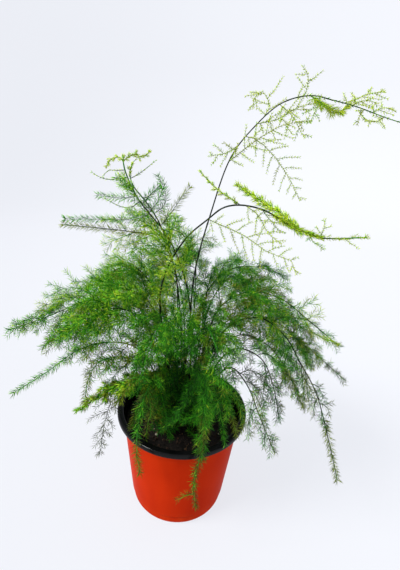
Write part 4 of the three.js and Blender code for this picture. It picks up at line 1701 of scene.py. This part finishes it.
STEMS = (
    LeafyStem(
        "tall_shoot", (-4, 6),
        route=((1, 8, 160), (3, 8, 237), (12, 10, 285), (24, 12, 329), (38, 12, 350),
               (55, 10, 367), (73, 6, 373), (89, 2, 371), (104, -2, 368), (122, -6, 363),
               (135, -8, 360)),
        twigs=(
            Twig(0.68, Habit.FEATHER, ((19, 2, 332), (8, -4, 330))),
            Twig(0.645, Habit.FEATHER, ((33, 4, 336), (43, 0, 345), (57, -4, 354), (72, -8, 357))),
            Twig(0.7, Habit.FEATHER, ((41, 18, 342), (53, 22, 334), (67, 24, 320), (82, 24, 299))),
            Twig(0.745, Habit.FEATHER, ((48, 18, 365), (42, 20, 374), (37, 22, 369), (37, 22, 363))),
            Twig(0.78, Habit.FEATHER, ((63, 2, 359), (68, -4, 351), (71, -6, 347))),
            Twig(0.73, Habit.FEATHER, ((57, 22, 357), (71, 26, 366), (83, 28, 369))),
            Twig(0.807, Habit.FEATHER, ((70, 12, 373), (72, 14, 379), (71, 14, 386), (66, 12, 391))),
            Twig(0.85, Habit.FEATHER, ((77, -4, 367), (73, -10, 357))),
            Twig(0.835, Habit.BRUSH, ((86, 12, 367), (96, 14, 364), (104, 16, 369))),
            Twig(0.893, Habit.FEATHER, ((105, 8, 373), (114, 12, 377), (125, 14, 379))),
            Twig(0.907, Habit.FEATHER, ((105, -10, 372), (112, -14, 371))),
            Twig(0.928, Habit.FEATHER, ((104, -10, 363), (103, -12, 358))),
            Twig(0.943, Habit.FEATHER, ((124, 4, 369), (132, 6, 368))),
            Twig(0.964, Habit.FEATHER, ((114, -14, 360), (107, -18, 360))),
        ),
        age=Age.SLENDER,
        dressed=(Stretch(0.8, 1, Habit.BARE),),
        look=Look(0.06, 0.1),
    ),
    LeafyStem(
        "arching_shoot", (-9, -3),
        route=((-17, -3, 165), (-24, -2, 213), (-20, -2, 239), (-5, -4, 269), (10, -6, 285),
               (21, -7, 295), (33, -8, 298), (50, -10, 296), (72, -12, 286), (93, -14, 280),
               (107, -16, 281), (125, -18, 284)),
        twigs=(
            Twig(0.576, Habit.BARE, ((-11, -12, 276), (-18, -18, 279))),
            Twig(0.642, Habit.FEATHER, ((19, -14, 284), (37, -20, 279), (56, -26, 269), (71, -28, 266),
                                        (76, -30, 257))),
            Twig(0.72, Habit.TUFT, ((24, -2, 302), (15, 4, 306), (2, 8, 317))),
            Twig(0.865, Habit.BRUSH, ((67, -6, 291), (51, 2, 299), (31, 8, 309))),
            Twig(0.73, Habit.FEATHER, ((45, -16, 294), (54, -20, 282), (63, -22, 276))),
            Twig(0.767, Habit.FEATHER, ((57, -2, 287), (66, 2, 278))),
            Twig(0.879, Habit.FEATHER, ((87, -20, 278), (94, -24, 275))),
            Twig(0.905, Habit.FEATHER, ((96, -8, 286), (97, -4, 291))),
        ),
        age=Age.YOUNG,
        dressed=(Stretch(0.78, 0.9, Habit.BRUSH), Stretch(0.9, 1, Habit.FEATHER)),
        look=Look(0.0, 0.1),
    ),
    LeafyStem(
        "left_shoot", (5, 1),
        route=((4, 2, 173), (-3, 5, 225), (-20, 6, 265), (-35, 6, 283), (-44, 6, 294),
               (-50, 6, 305), (-54, 5, 316), (-55, 4, 325)),
        twigs=(
            Twig(0.985, Habit.TUFT, ((-46, 0, 327), (-39, -4, 326), (-34, -6, 330))),
            Twig(0.985, Habit.TUFT, ((-59, 8, 323), (-66, 10, 320), (-69, 12, 315))),
            Twig(0.94, Habit.BARE, ((-61, 0, 308), (-68, -4, 309), (-74, -8, 313))),
            Twig(0.96, Habit.BARE, ((-61, 10, 313), (-68, 14, 312), (-73, 16, 307))),
            Twig(0.865, Habit.BARE, ((-47, 0, 289), (-54, -4, 289), (-65, -8, 295))),
            Twig(0.88, Habit.WISP, ((-59, 12, 292), (-77, 16, 292))),
            Twig(0.91, Habit.FEATHER, ((-52, 2, 307), (-57, 0, 312))),
            Twig(0.82, Habit.WISP, ((-42, -2, 281), (-47, -6, 284), (-49, -8, 288))),
            Twig(0.72, Habit.CREST, ((-22, -8, 262), (-34, -20, 266), (-44, -28, 262))),
            Twig(0.64, Habit.CREST, ((-6, -8, 246), (-14, -24, 254), (-20, -36, 250))),
            Twig(0.76, Habit.CREST, ((-18, -6, 274), (-14, -14, 284), (-12, -20, 290))),
            Twig(0.66, Habit.CREST, ((-20, -4, 263), (-31, -10, 273))),
            Twig(0.7, Habit.CREST, ((-26, 0, 268), (-36, -4, 277))),
            Twig(0.731, Habit.CREST, ((-34, 2, 274), (-47, 4, 282))),
            Twig(0.771, Habit.CREST, ((-37, 12, 278), (-52, 16, 281))),
            Twig(0.624, Habit.CREST, ((-2, -6, 260), (-1, -10, 276))),
            Twig(0.68, Habit.CREST, ((-10, -2, 269), (-14, -4, 284))),
            Twig(0.901, Habit.WISP, ((-53, -2, 306), (-58, -4, 310))),
            Twig(0.874, Habit.CREST, ((-52, 6, 303), (-57, 8, 310))),
            Twig(0.519, Habit.CREST, ((-6, -20, 213), (-15, -34, 204))),
            Twig(0.462, Habit.CREST, ((7, -22, 203), (16, -34, 195))),
            Twig(0.822, Habit.WISP, ((-29, 6, 293), (-26, 10, 302))),
            Twig(0.854, Habit.WISP, ((-33, -4, 300), (-27, -8, 307))),
            Twig(0.867, Habit.CREST, ((-47, -2, 302), (-54, -4, 306))),
        ),
        age=Age.YOUNG,
        dressed=(Stretch(0.97, 1, Habit.TUFT),),
        look=Look(0.04, 0.0),
    ),
    LeafyStem(
        "twin_shoot", (-2, 14),
        route=((-5, 14, 166), (-13, 14, 230), (-23, 12, 264), (-32, 11, 282), (-41, 10, 294),
               (-48, 10, 302), (-51, 10, 311), (-49, 9, 319)),
        twigs=(
            Twig(0.955, Habit.BARE, ((-45, 14, 311), (-33, 18, 321))),
            Twig(0.975, Habit.BARE, ((-49, 12, 319), (-46, 14, 323))),
            Twig(0.828, Habit.WISP, ((-24, 14, 290), (-25, 16, 300), (-30, 16, 310))),
            Twig(0.785, Habit.WISP, ((-19, 16, 283), (-13, 20, 292), (-6, 22, 302))),
            Twig(0.75, Habit.CREST, ((-15, 18, 270), (-11, 22, 276))),
            Twig(0.77, Habit.WISP, ((-37, 10, 275), (-66, 6, 276), (-99, 2, 275))),
            Twig(0.885, Habit.BARE, ((-36, 16, 295), (-29, 20, 300))),
            Twig(0.7, Habit.CREST, ((-20, 26, 262), (-24, 40, 268), (-30, 52, 264))),
            Twig(0.64, Habit.CREST, ((-4, 26, 250), (8, 36, 258), (18, 44, 254))),
            Twig(0.672, Habit.CREST, ((-28, 10, 252), (-42, 6, 261))),
            Twig(0.718, Habit.CREST, ((-21, 18, 269), (-26, 22, 283))),
            Twig(0.628, Habit.CREST, ((-6, 20, 245), (-3, 26, 258))),
            Twig(0.752, Habit.CREST, ((-36, 16, 269), (-48, 20, 268))),
            Twig(0.784, Habit.CREST, ((-35, 10, 281), (-44, 14, 286))),
            Twig(0.831, Habit.WISP, ((-40, 12, 288), (-48, 16, 290))),
            Twig(0.581, Habit.CREST, ((-17, -8, 228), (-26, -24, 222))),
        ),
        age=Age.TWIN,
        dressed=(Stretch(0.95, 1, Habit.TUFT),),
        look=Look(0.02, 0.12),
    ),
    LeafyStem(
        "high_left", (-8, 22),
        route=((-9, 22, 172), (-17, 20, 241), (-32, 16, 261), (-48, 10, 266), (-73, 4, 269),
               (-100, 0, 271)),
        twigs=(
            Twig(0.742, Habit.CREST, ((-46, 8, 259), (-59, 2, 254))),
            Twig(0.795, Habit.CREST, ((-57, 2, 263), (-68, -4, 259))),
            Twig(0.7, Habit.CREST, ((-20, 24, 261), (-12, 28, 264))),
            Twig(0.66, Habit.CREST, ((-26, 30, 256), (-36, 42, 258))),
            Twig(0.82, Habit.CREST, ((-62, 18, 272), (-76, 24, 270))),
            Twig(0.576, Habit.CREST, ((-28, 24, 237), (-41, 28, 245))),
            Twig(0.623, Habit.CREST, ((-29, 14, 246), (-42, 8, 249))),
            Twig(0.543, Habit.CREST, ((-23, 30, 229), (-31, 36, 241))),
            Twig(0.46, Habit.CREST, ((-21, 4, 205), (-34, -12, 201))),
        ),
        dressed=(Stretch(0.62, 0.78, Habit.CREST), Stretch(0.74, 1, Habit.WISP)),
        look=Look(0.1, 0.4),
    ),
    LeafyStem(
        "left_top", (-15, 18),
        route=((-18, 22, 160), (-32, 24, 210), (-52, 22, 232), (-72, 18, 224), (-91, 12, 209)),
        fan=Fan(0.42, 0.97, 9, 36, 0.2, between=4),
        look=Look(0.15, 0.04),
    ),
    LeafyStem(
        "left_long", (-16, 8),
        route=((-20, 6, 165), (-37, 4, 211), (-59, 0, 220), (-84, -8, 211), (-111, -16, 199),
               (-130, -22, 192), (-142, -25, 188)),
        fan=Fan(0.4, 0.97, 11, 38, 0.25, between=4),
        look=Look(0.08, 0.06),
    ),
    LeafyStem(
        "left_middle", (-18, -3),
        route=((-24, -8, 160), (-38, -14, 202), (-59, -22, 213), (-84, -30, 200),
               (-110, -36, 183)),
        fan=Fan(0.4, 0.97, 9, 38, 0.3, between=4),
        look=Look(0.05, 0.08),
    ),
    LeafyStem(
        "left_low", (-20, -10),
        route=((-27, -16, 155), (-43, -26, 183), (-62, -34, 189), (-82, -40, 184),
               (-104, -46, 167), (-131, -50, 147)),
        fan=Fan(0.36, 0.76, 8, 28, 0.3, between=1),
        age=Age.FRESH,
        dressed=(Stretch(0.52, 1, Habit.WISP),),
        look=Look(0.02, 0.45),
    ),
    LeafyStem(
        "left_hanging", (-20, -17),
        route=((-30, -24, 155), (-46, -36, 178), (-63, -46, 180), (-70, -52, 170),
               (-74, -56, 148)),
        fan=Fan(0.36, 0.86, 8, 24, 0.4),
        age=Age.FRESH,
        dressed=(Stretch(0.6, 1, Habit.WISP),),
        look=Look(0.02, 0.4),
    ),
    LeafyStem(
        "left_lowest", (-13, -20),
        route=((-24, -28, 143), (-35, -40, 162), (-53, -52, 160), (-77, -62, 146)),
        fan=Fan(0.36, 0.96, 10, 15, 0.25, Habit.BRUSH, forward=0.85),
        twigs=(
            Twig(0.62, Habit.AIRY, ((-52, -50, 150), (-60, -53, 124), (-64, -53, 94))),
        ),
        dressed=(Stretch(0.4, 1, Habit.BRUSH),),
        look=Look(-0.2, 0.45),
    ),
    LeafyStem(
        "right_top", (9, 14),
        route=((13, 16, 167), (15, 18, 215), (31, 18, 236), (52, 16, 242), (80, 12, 237)),
        fan=Fan(0.42, 0.97, 9, 38, 0.35),
        look=Look(0.0, 0.14),
    ),
    LeafyStem(
        "right_high", (12, 6),
        route=((16, 6, 168), (28, 4, 210), (49, 2, 225), (74, -2, 223), (100, -8, 207),
               (127, -12, 188)),
        fan=Fan(0.4, 0.82, 9, 38, 0.35, between=3, tail=0.6),
        twigs=(
            Twig(0.789, Habit.CREST, ((89, -10, 220), (99, -12, 229))),
            Twig(0.81, Habit.CREST, ((94, -4, 206), (109, -2, 212))),
            Twig(0.831, Habit.CREST, ((101, -16, 202), (121, -20, 195))),
            Twig(0.693, Habit.PLUME, ((66, -20, 214), (73, -30, 202))),
            Twig(0.643, Habit.PLUME, ((55, -16, 209), (61, -26, 192))),
        ),
        dressed=(Stretch(0.86, 1, Habit.AIRY),),
        look=Look(0.07, 0.22),
    ),
    LeafyStem(
        "right_behind", (16, 22),
        route=((22, 26, 156), (40, 34, 182), (75, 40, 182), (117, 46, 151), (168, 50, 109)),
        fan=Fan(0.4, 0.9, 9, 36, 0.35, between=3, tail=0.6),
        dressed=(Stretch(0.86, 1, Habit.AIRY),),
        look=Look(0.03, 0.2),
    ),
    LeafyStem(
        "right_long", (14, -3),
        route=((20, -6, 161), (36, -12, 201), (58, -20, 213), (77, -28, 203), (90, -34, 185),
               (105, -42, 163), (117, -50, 133), (134, -56, 86)),
        fan=Fan(0.34, 0.84, 10, 30, 0.35, Habit.AIRY),
        dressed=(Stretch(0.8, 1, Habit.WISP),),
        look=Look(0.02, 0.3),
    ),
    LeafyStem(
        "right_middle", (19, -9),
        route=((26, -14, 160), (42, -22, 185), (61, -30, 182), (73, -38, 160), (80, -44, 134)),
        fan=Fan(0.42, 0.97, 8, 28, 0.4, Habit.AIRY, between=1),
        dressed=(Stretch(0.8, 1, Habit.AIRY),),
        look=Look(-0.02, 0.3),
    ),
    LeafyStem(
        "right_low", (19, -17),
        route=((27, -25, 155), (38, -36, 176), (50, -46, 168), (61, -54, 147), (77, -60, 115)),
        fan=Fan(0.42, 0.97, 8, 24, 0.4, Habit.AIRY, between=1),
        dressed=(Stretch(0.8, 1, Habit.AIRY),),
        look=Look(-0.02, 0.3),
    ),
    LeafyStem(
        "right_side", (20, 11),
        route=((27, 12, 157), (48, 18, 174), (75, 22, 163), (100, 24, 130), (121, 24, 92)),
        fan=Fan(0.42, 0.97, 9, 30, 0.4, Habit.AIRY, between=1),
        dressed=(Stretch(0.8, 1, Habit.AIRY),),
        look=Look(-0.02, 0.3),
    ),
    LeafyStem(
        "front_over_lip", (8, -20),
        route=((11, -28, 150), (14, -44, 178), (19, -58, 165), (18, -66, 139), (18, -69, 115),
               (15, -71, 86), (18, -71, 62)),
        fan=Fan(0.4, 0.9, 8, 9, 0.3, Habit.PLAIN, forward=0.9),
        twigs=(
            Twig(0.44, Habit.PLUME, ((7, -46, 160), (-3, -49, 140), (-14, -50, 119))),
            Twig(0.94, Habit.PLAIN, ((9, -76, 79), (3, -78, 76))),
        ),
        age=Age.FRESH,
        dressed=(Stretch(0.36, 1, Habit.PLAIN),),
        look=Look(0.0, 0.0),
    ),
    LeafyStem(
        "front_left", (-10, -26),
        route=((-17, -32, 143), (-24, -44, 162), (-30, -56, 146), (-32, -64, 109),
               (-29, -65, 88)),
        fan=Fan(0.42, 0.7, 6, 15, 0.4, Habit.PLAIN),
        twigs=(
            Twig(0.575, Habit.PLAIN, ((-36, -34, 127), (-43, -38, 103))),
            Twig(0.374, Habit.PLAIN, ((-25, -40, 125), (-28, -44, 102))),
            Twig(0.406, Habit.PLAIN, ((-12, -42, 130), (-7, -46, 110))),
        ),
        age=Age.FRESH,
        dressed=(Stretch(0.36, 0.7, Habit.PLAIN), Stretch(0.7, 1, Habit.WISP)),
        look=Look(0.0, 0.25),
    ),
    LeafyStem(
        "front_right", (15, -27),
        route=((22, -32, 138), (34, -37, 156), (31, -43, 150), (19, -46, 139), (3, -47, 128)),
        fan=Fan(0.45, 0.97, 7, 18, 0.3, Habit.PLAIN),
        twigs=(
            Twig(0.697, Habit.PLAIN, ((41, -40, 134), (48, -42, 112))),
            Twig(0.747, Habit.PLAIN, ((35, -44, 125), (39, -46, 104))),
            Twig(0.673, Habit.PLAIN, ((47, -34, 141), (53, -36, 120))),
        ),
        age=Age.FRESH,
        dressed=(Stretch(0.36, 1, Habit.PLAIN),),
        look=Look(0.06, 0.0),
    ),
    LeafyStem(
        "centre_left", (-4, -10),
        route=((-8, -16, 180), (-14, -32, 214), (-22, -52, 208), (-30, -68, 182)),
        fan=Fan(0.4, 0.97, 8, 36, 0.3),
        age=Age.FRESH,
        look=Look(-0.02, 0.0),
    ),
    LeafyStem(
        "centre_right", (7, -8),
        route=((10, -16, 178), (16, -32, 208), (24, -50, 200), (32, -64, 176)),
        fan=Fan(0.4, 0.97, 8, 34, 0.3),
        age=Age.FRESH,
        look=Look(-0.04, 0.04),
    ),
    LeafyStem(
        "back_left", (-10, 29),
        route=((-24, 48, 175), (-50, 74, 203), (-82, 94, 180), (-104, 104, 148)),
        fan=Fan(0.4, 0.97, 8, 38, 0.35, below=8),
    ),
    LeafyStem(
        "back_middle", (-1, 33),
        route=((-8, 58, 185), (-22, 90, 205), (-36, 116, 186), (-44, 132, 156)),
        fan=Fan(0.4, 0.97, 8, 38, 0.35, below=8),
    ),
    LeafyStem(
        "back_right", (7, 30),
        route=((20, 58, 185), (42, 88, 202), (64, 110, 180), (76, 122, 152)),
        fan=Fan(0.4, 0.97, 8, 38, 0.35, below=8),
    ),
    LeafyStem(
        "back_high", (4, 22),
        route=((4, 36, 205), (2, 58, 232), (-2, 84, 230), (-6, 108, 208)),
        fan=Fan(0.45, 0.97, 8, 38, 0.3, below=8),
    ),
)


# Studio


@dataclass(frozen=True)
class Sun:
    """A far, soft light: which way it shines, its width in the sky, watts a square metre, and colour."""

    name: str
    towards: Triple
    degrees: float
    power: float
    colour: Triple

    def build(self) -> bpy.types.Object:
        """Sets the light.

        Returns:
            The light.
        """
        data = bpy.data.lights.new(self.name, "SUN")
        data.angle = math.radians(self.degrees)
        data.energy = self.power
        data.color = self.colour
        sun = bpy.data.objects.new(self.name, data)
        sun.rotation_euler = Vector(self.towards).to_track_quat("-Z", "Y").to_euler()
        sun.location = -Vector(self.towards)
        bpy.context.scene.collection.objects.link(sun)
        return sun


@dataclass(frozen=True)
class Studio:
    """A pale round floor that rises into a wall, soft light, and the camera at the photo's angle."""

    key: Sun = Sun("key_light", (0.7, 0.32, -0.78), 24.0, 3.9, (1.0, 0.985, 0.95))
    fill: Sun = Sun("fill_light", (-0.6, 0.7, -0.4), 60.0, 0.35, (0.94, 0.97, 1.0))
    floor_radius: float = 1100.0
    bend: float = 500.0
    wall_top: float = 1300.0
    eye: Triple = (8.0, -298.0, 362.0)
    pitch: float = 24.1
    roll: float = 4.3
    focal_pixels: float = 401.0
    frame_pixels: float = 570.0
    sensor: float = 36.0
    nearest: float = 10.0
    sky: Colour = (0.86, 0.9, 1.0, 1.0)
    sky_strength: float = 0.75

    def floor(self, paper: StudioPaper) -> bpy.types.Object:
        """Turns the floor: a flat disc, a quarter round and a straight wall, all facing in.

        Args:
            paper: its finish.

        Returns:
            The floor.
        """
        wall = self.floor_radius + self.bend
        profile = np.concatenate((
            np.array([(0, self.wall_top), (wall, self.wall_top)]),
            arc((self.floor_radius, self.bend), self.bend, 0, -90, steps=16),
            straight((self.floor_radius, 0), (0, 0), steps=10)[1:],
        ))
        points, (sides, _, middle) = turned(profile, columns=96)
        surface = Surface()
        surface.add(points, sides, middle)
        floor = bpy.data.objects.new("studio_floor", surface.mesh("studio_floor"))
        floor.data.materials.append(paper.material())
        bpy.context.scene.collection.objects.link(floor)
        return floor

    def camera(self) -> bpy.types.Object:
        """Sets the camera: turned down by the pitch, then rolled about its own axis.

        Returns:
            The camera.
        """
        pitch, roll = math.radians(self.pitch), math.radians(self.roll)
        ahead = Vector((0, math.cos(pitch), -math.sin(pitch)))
        right, above = Vector((1, 0, 0)), Vector((0, math.sin(pitch), math.cos(pitch)))
        across = math.cos(roll) * right + math.sin(roll) * above
        upward = math.cos(roll) * above - math.sin(roll) * right
        data = bpy.data.cameras.new("photo_camera")
        data.sensor_width = self.sensor
        data.lens = self.sensor * self.focal_pixels / self.frame_pixels
        data.clip_start = self.nearest * MM
        camera = bpy.data.objects.new("photo_camera", data)
        camera.rotation_euler = Matrix((across, upward, -ahead)).transposed().to_euler()
        camera.location = Vector(self.eye) * MM
        bpy.context.scene.collection.objects.link(camera)
        bpy.context.scene.camera = camera
        return camera

    def build(self) -> None:
        """Sets up floor, lights, surroundings and camera."""
        key, fill = self.key.build(), self.fill.build()
        self.floor(StudioPaper())
        self.camera()
        world = bpy.data.worlds.new("studio_air")
        world.use_nodes = True
        world.node_tree.nodes["Background"].inputs["Color"].default_value = self.sky
        world.node_tree.nodes["Background"].inputs["Strength"].default_value = self.sky_strength
        bpy.context.scene.world = world
        bpy.context.scene.view_settings.view_transform = "Standard"


def main() -> None:
    """Builds the pot, the soil, every leafy stem and the studio, in that order."""
    logging.basicConfig(level=logging.INFO, format="%(message)s")
    log.info("solids to dress: %d", len(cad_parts))
    pot = NurseryPot()
    pot.build(PotPlastic())
    soil = PottingSoil(pot)
    soil.build(DampSoil())
    soil.strew(Bits())
    room = Room(pot, soil.level)
    greenery = Greenery().material()
    for index, stem in enumerate(STEMS):
        stem.build(index, room, greenery)
    Studio().build()


if __name__ == "__main__":
    main()
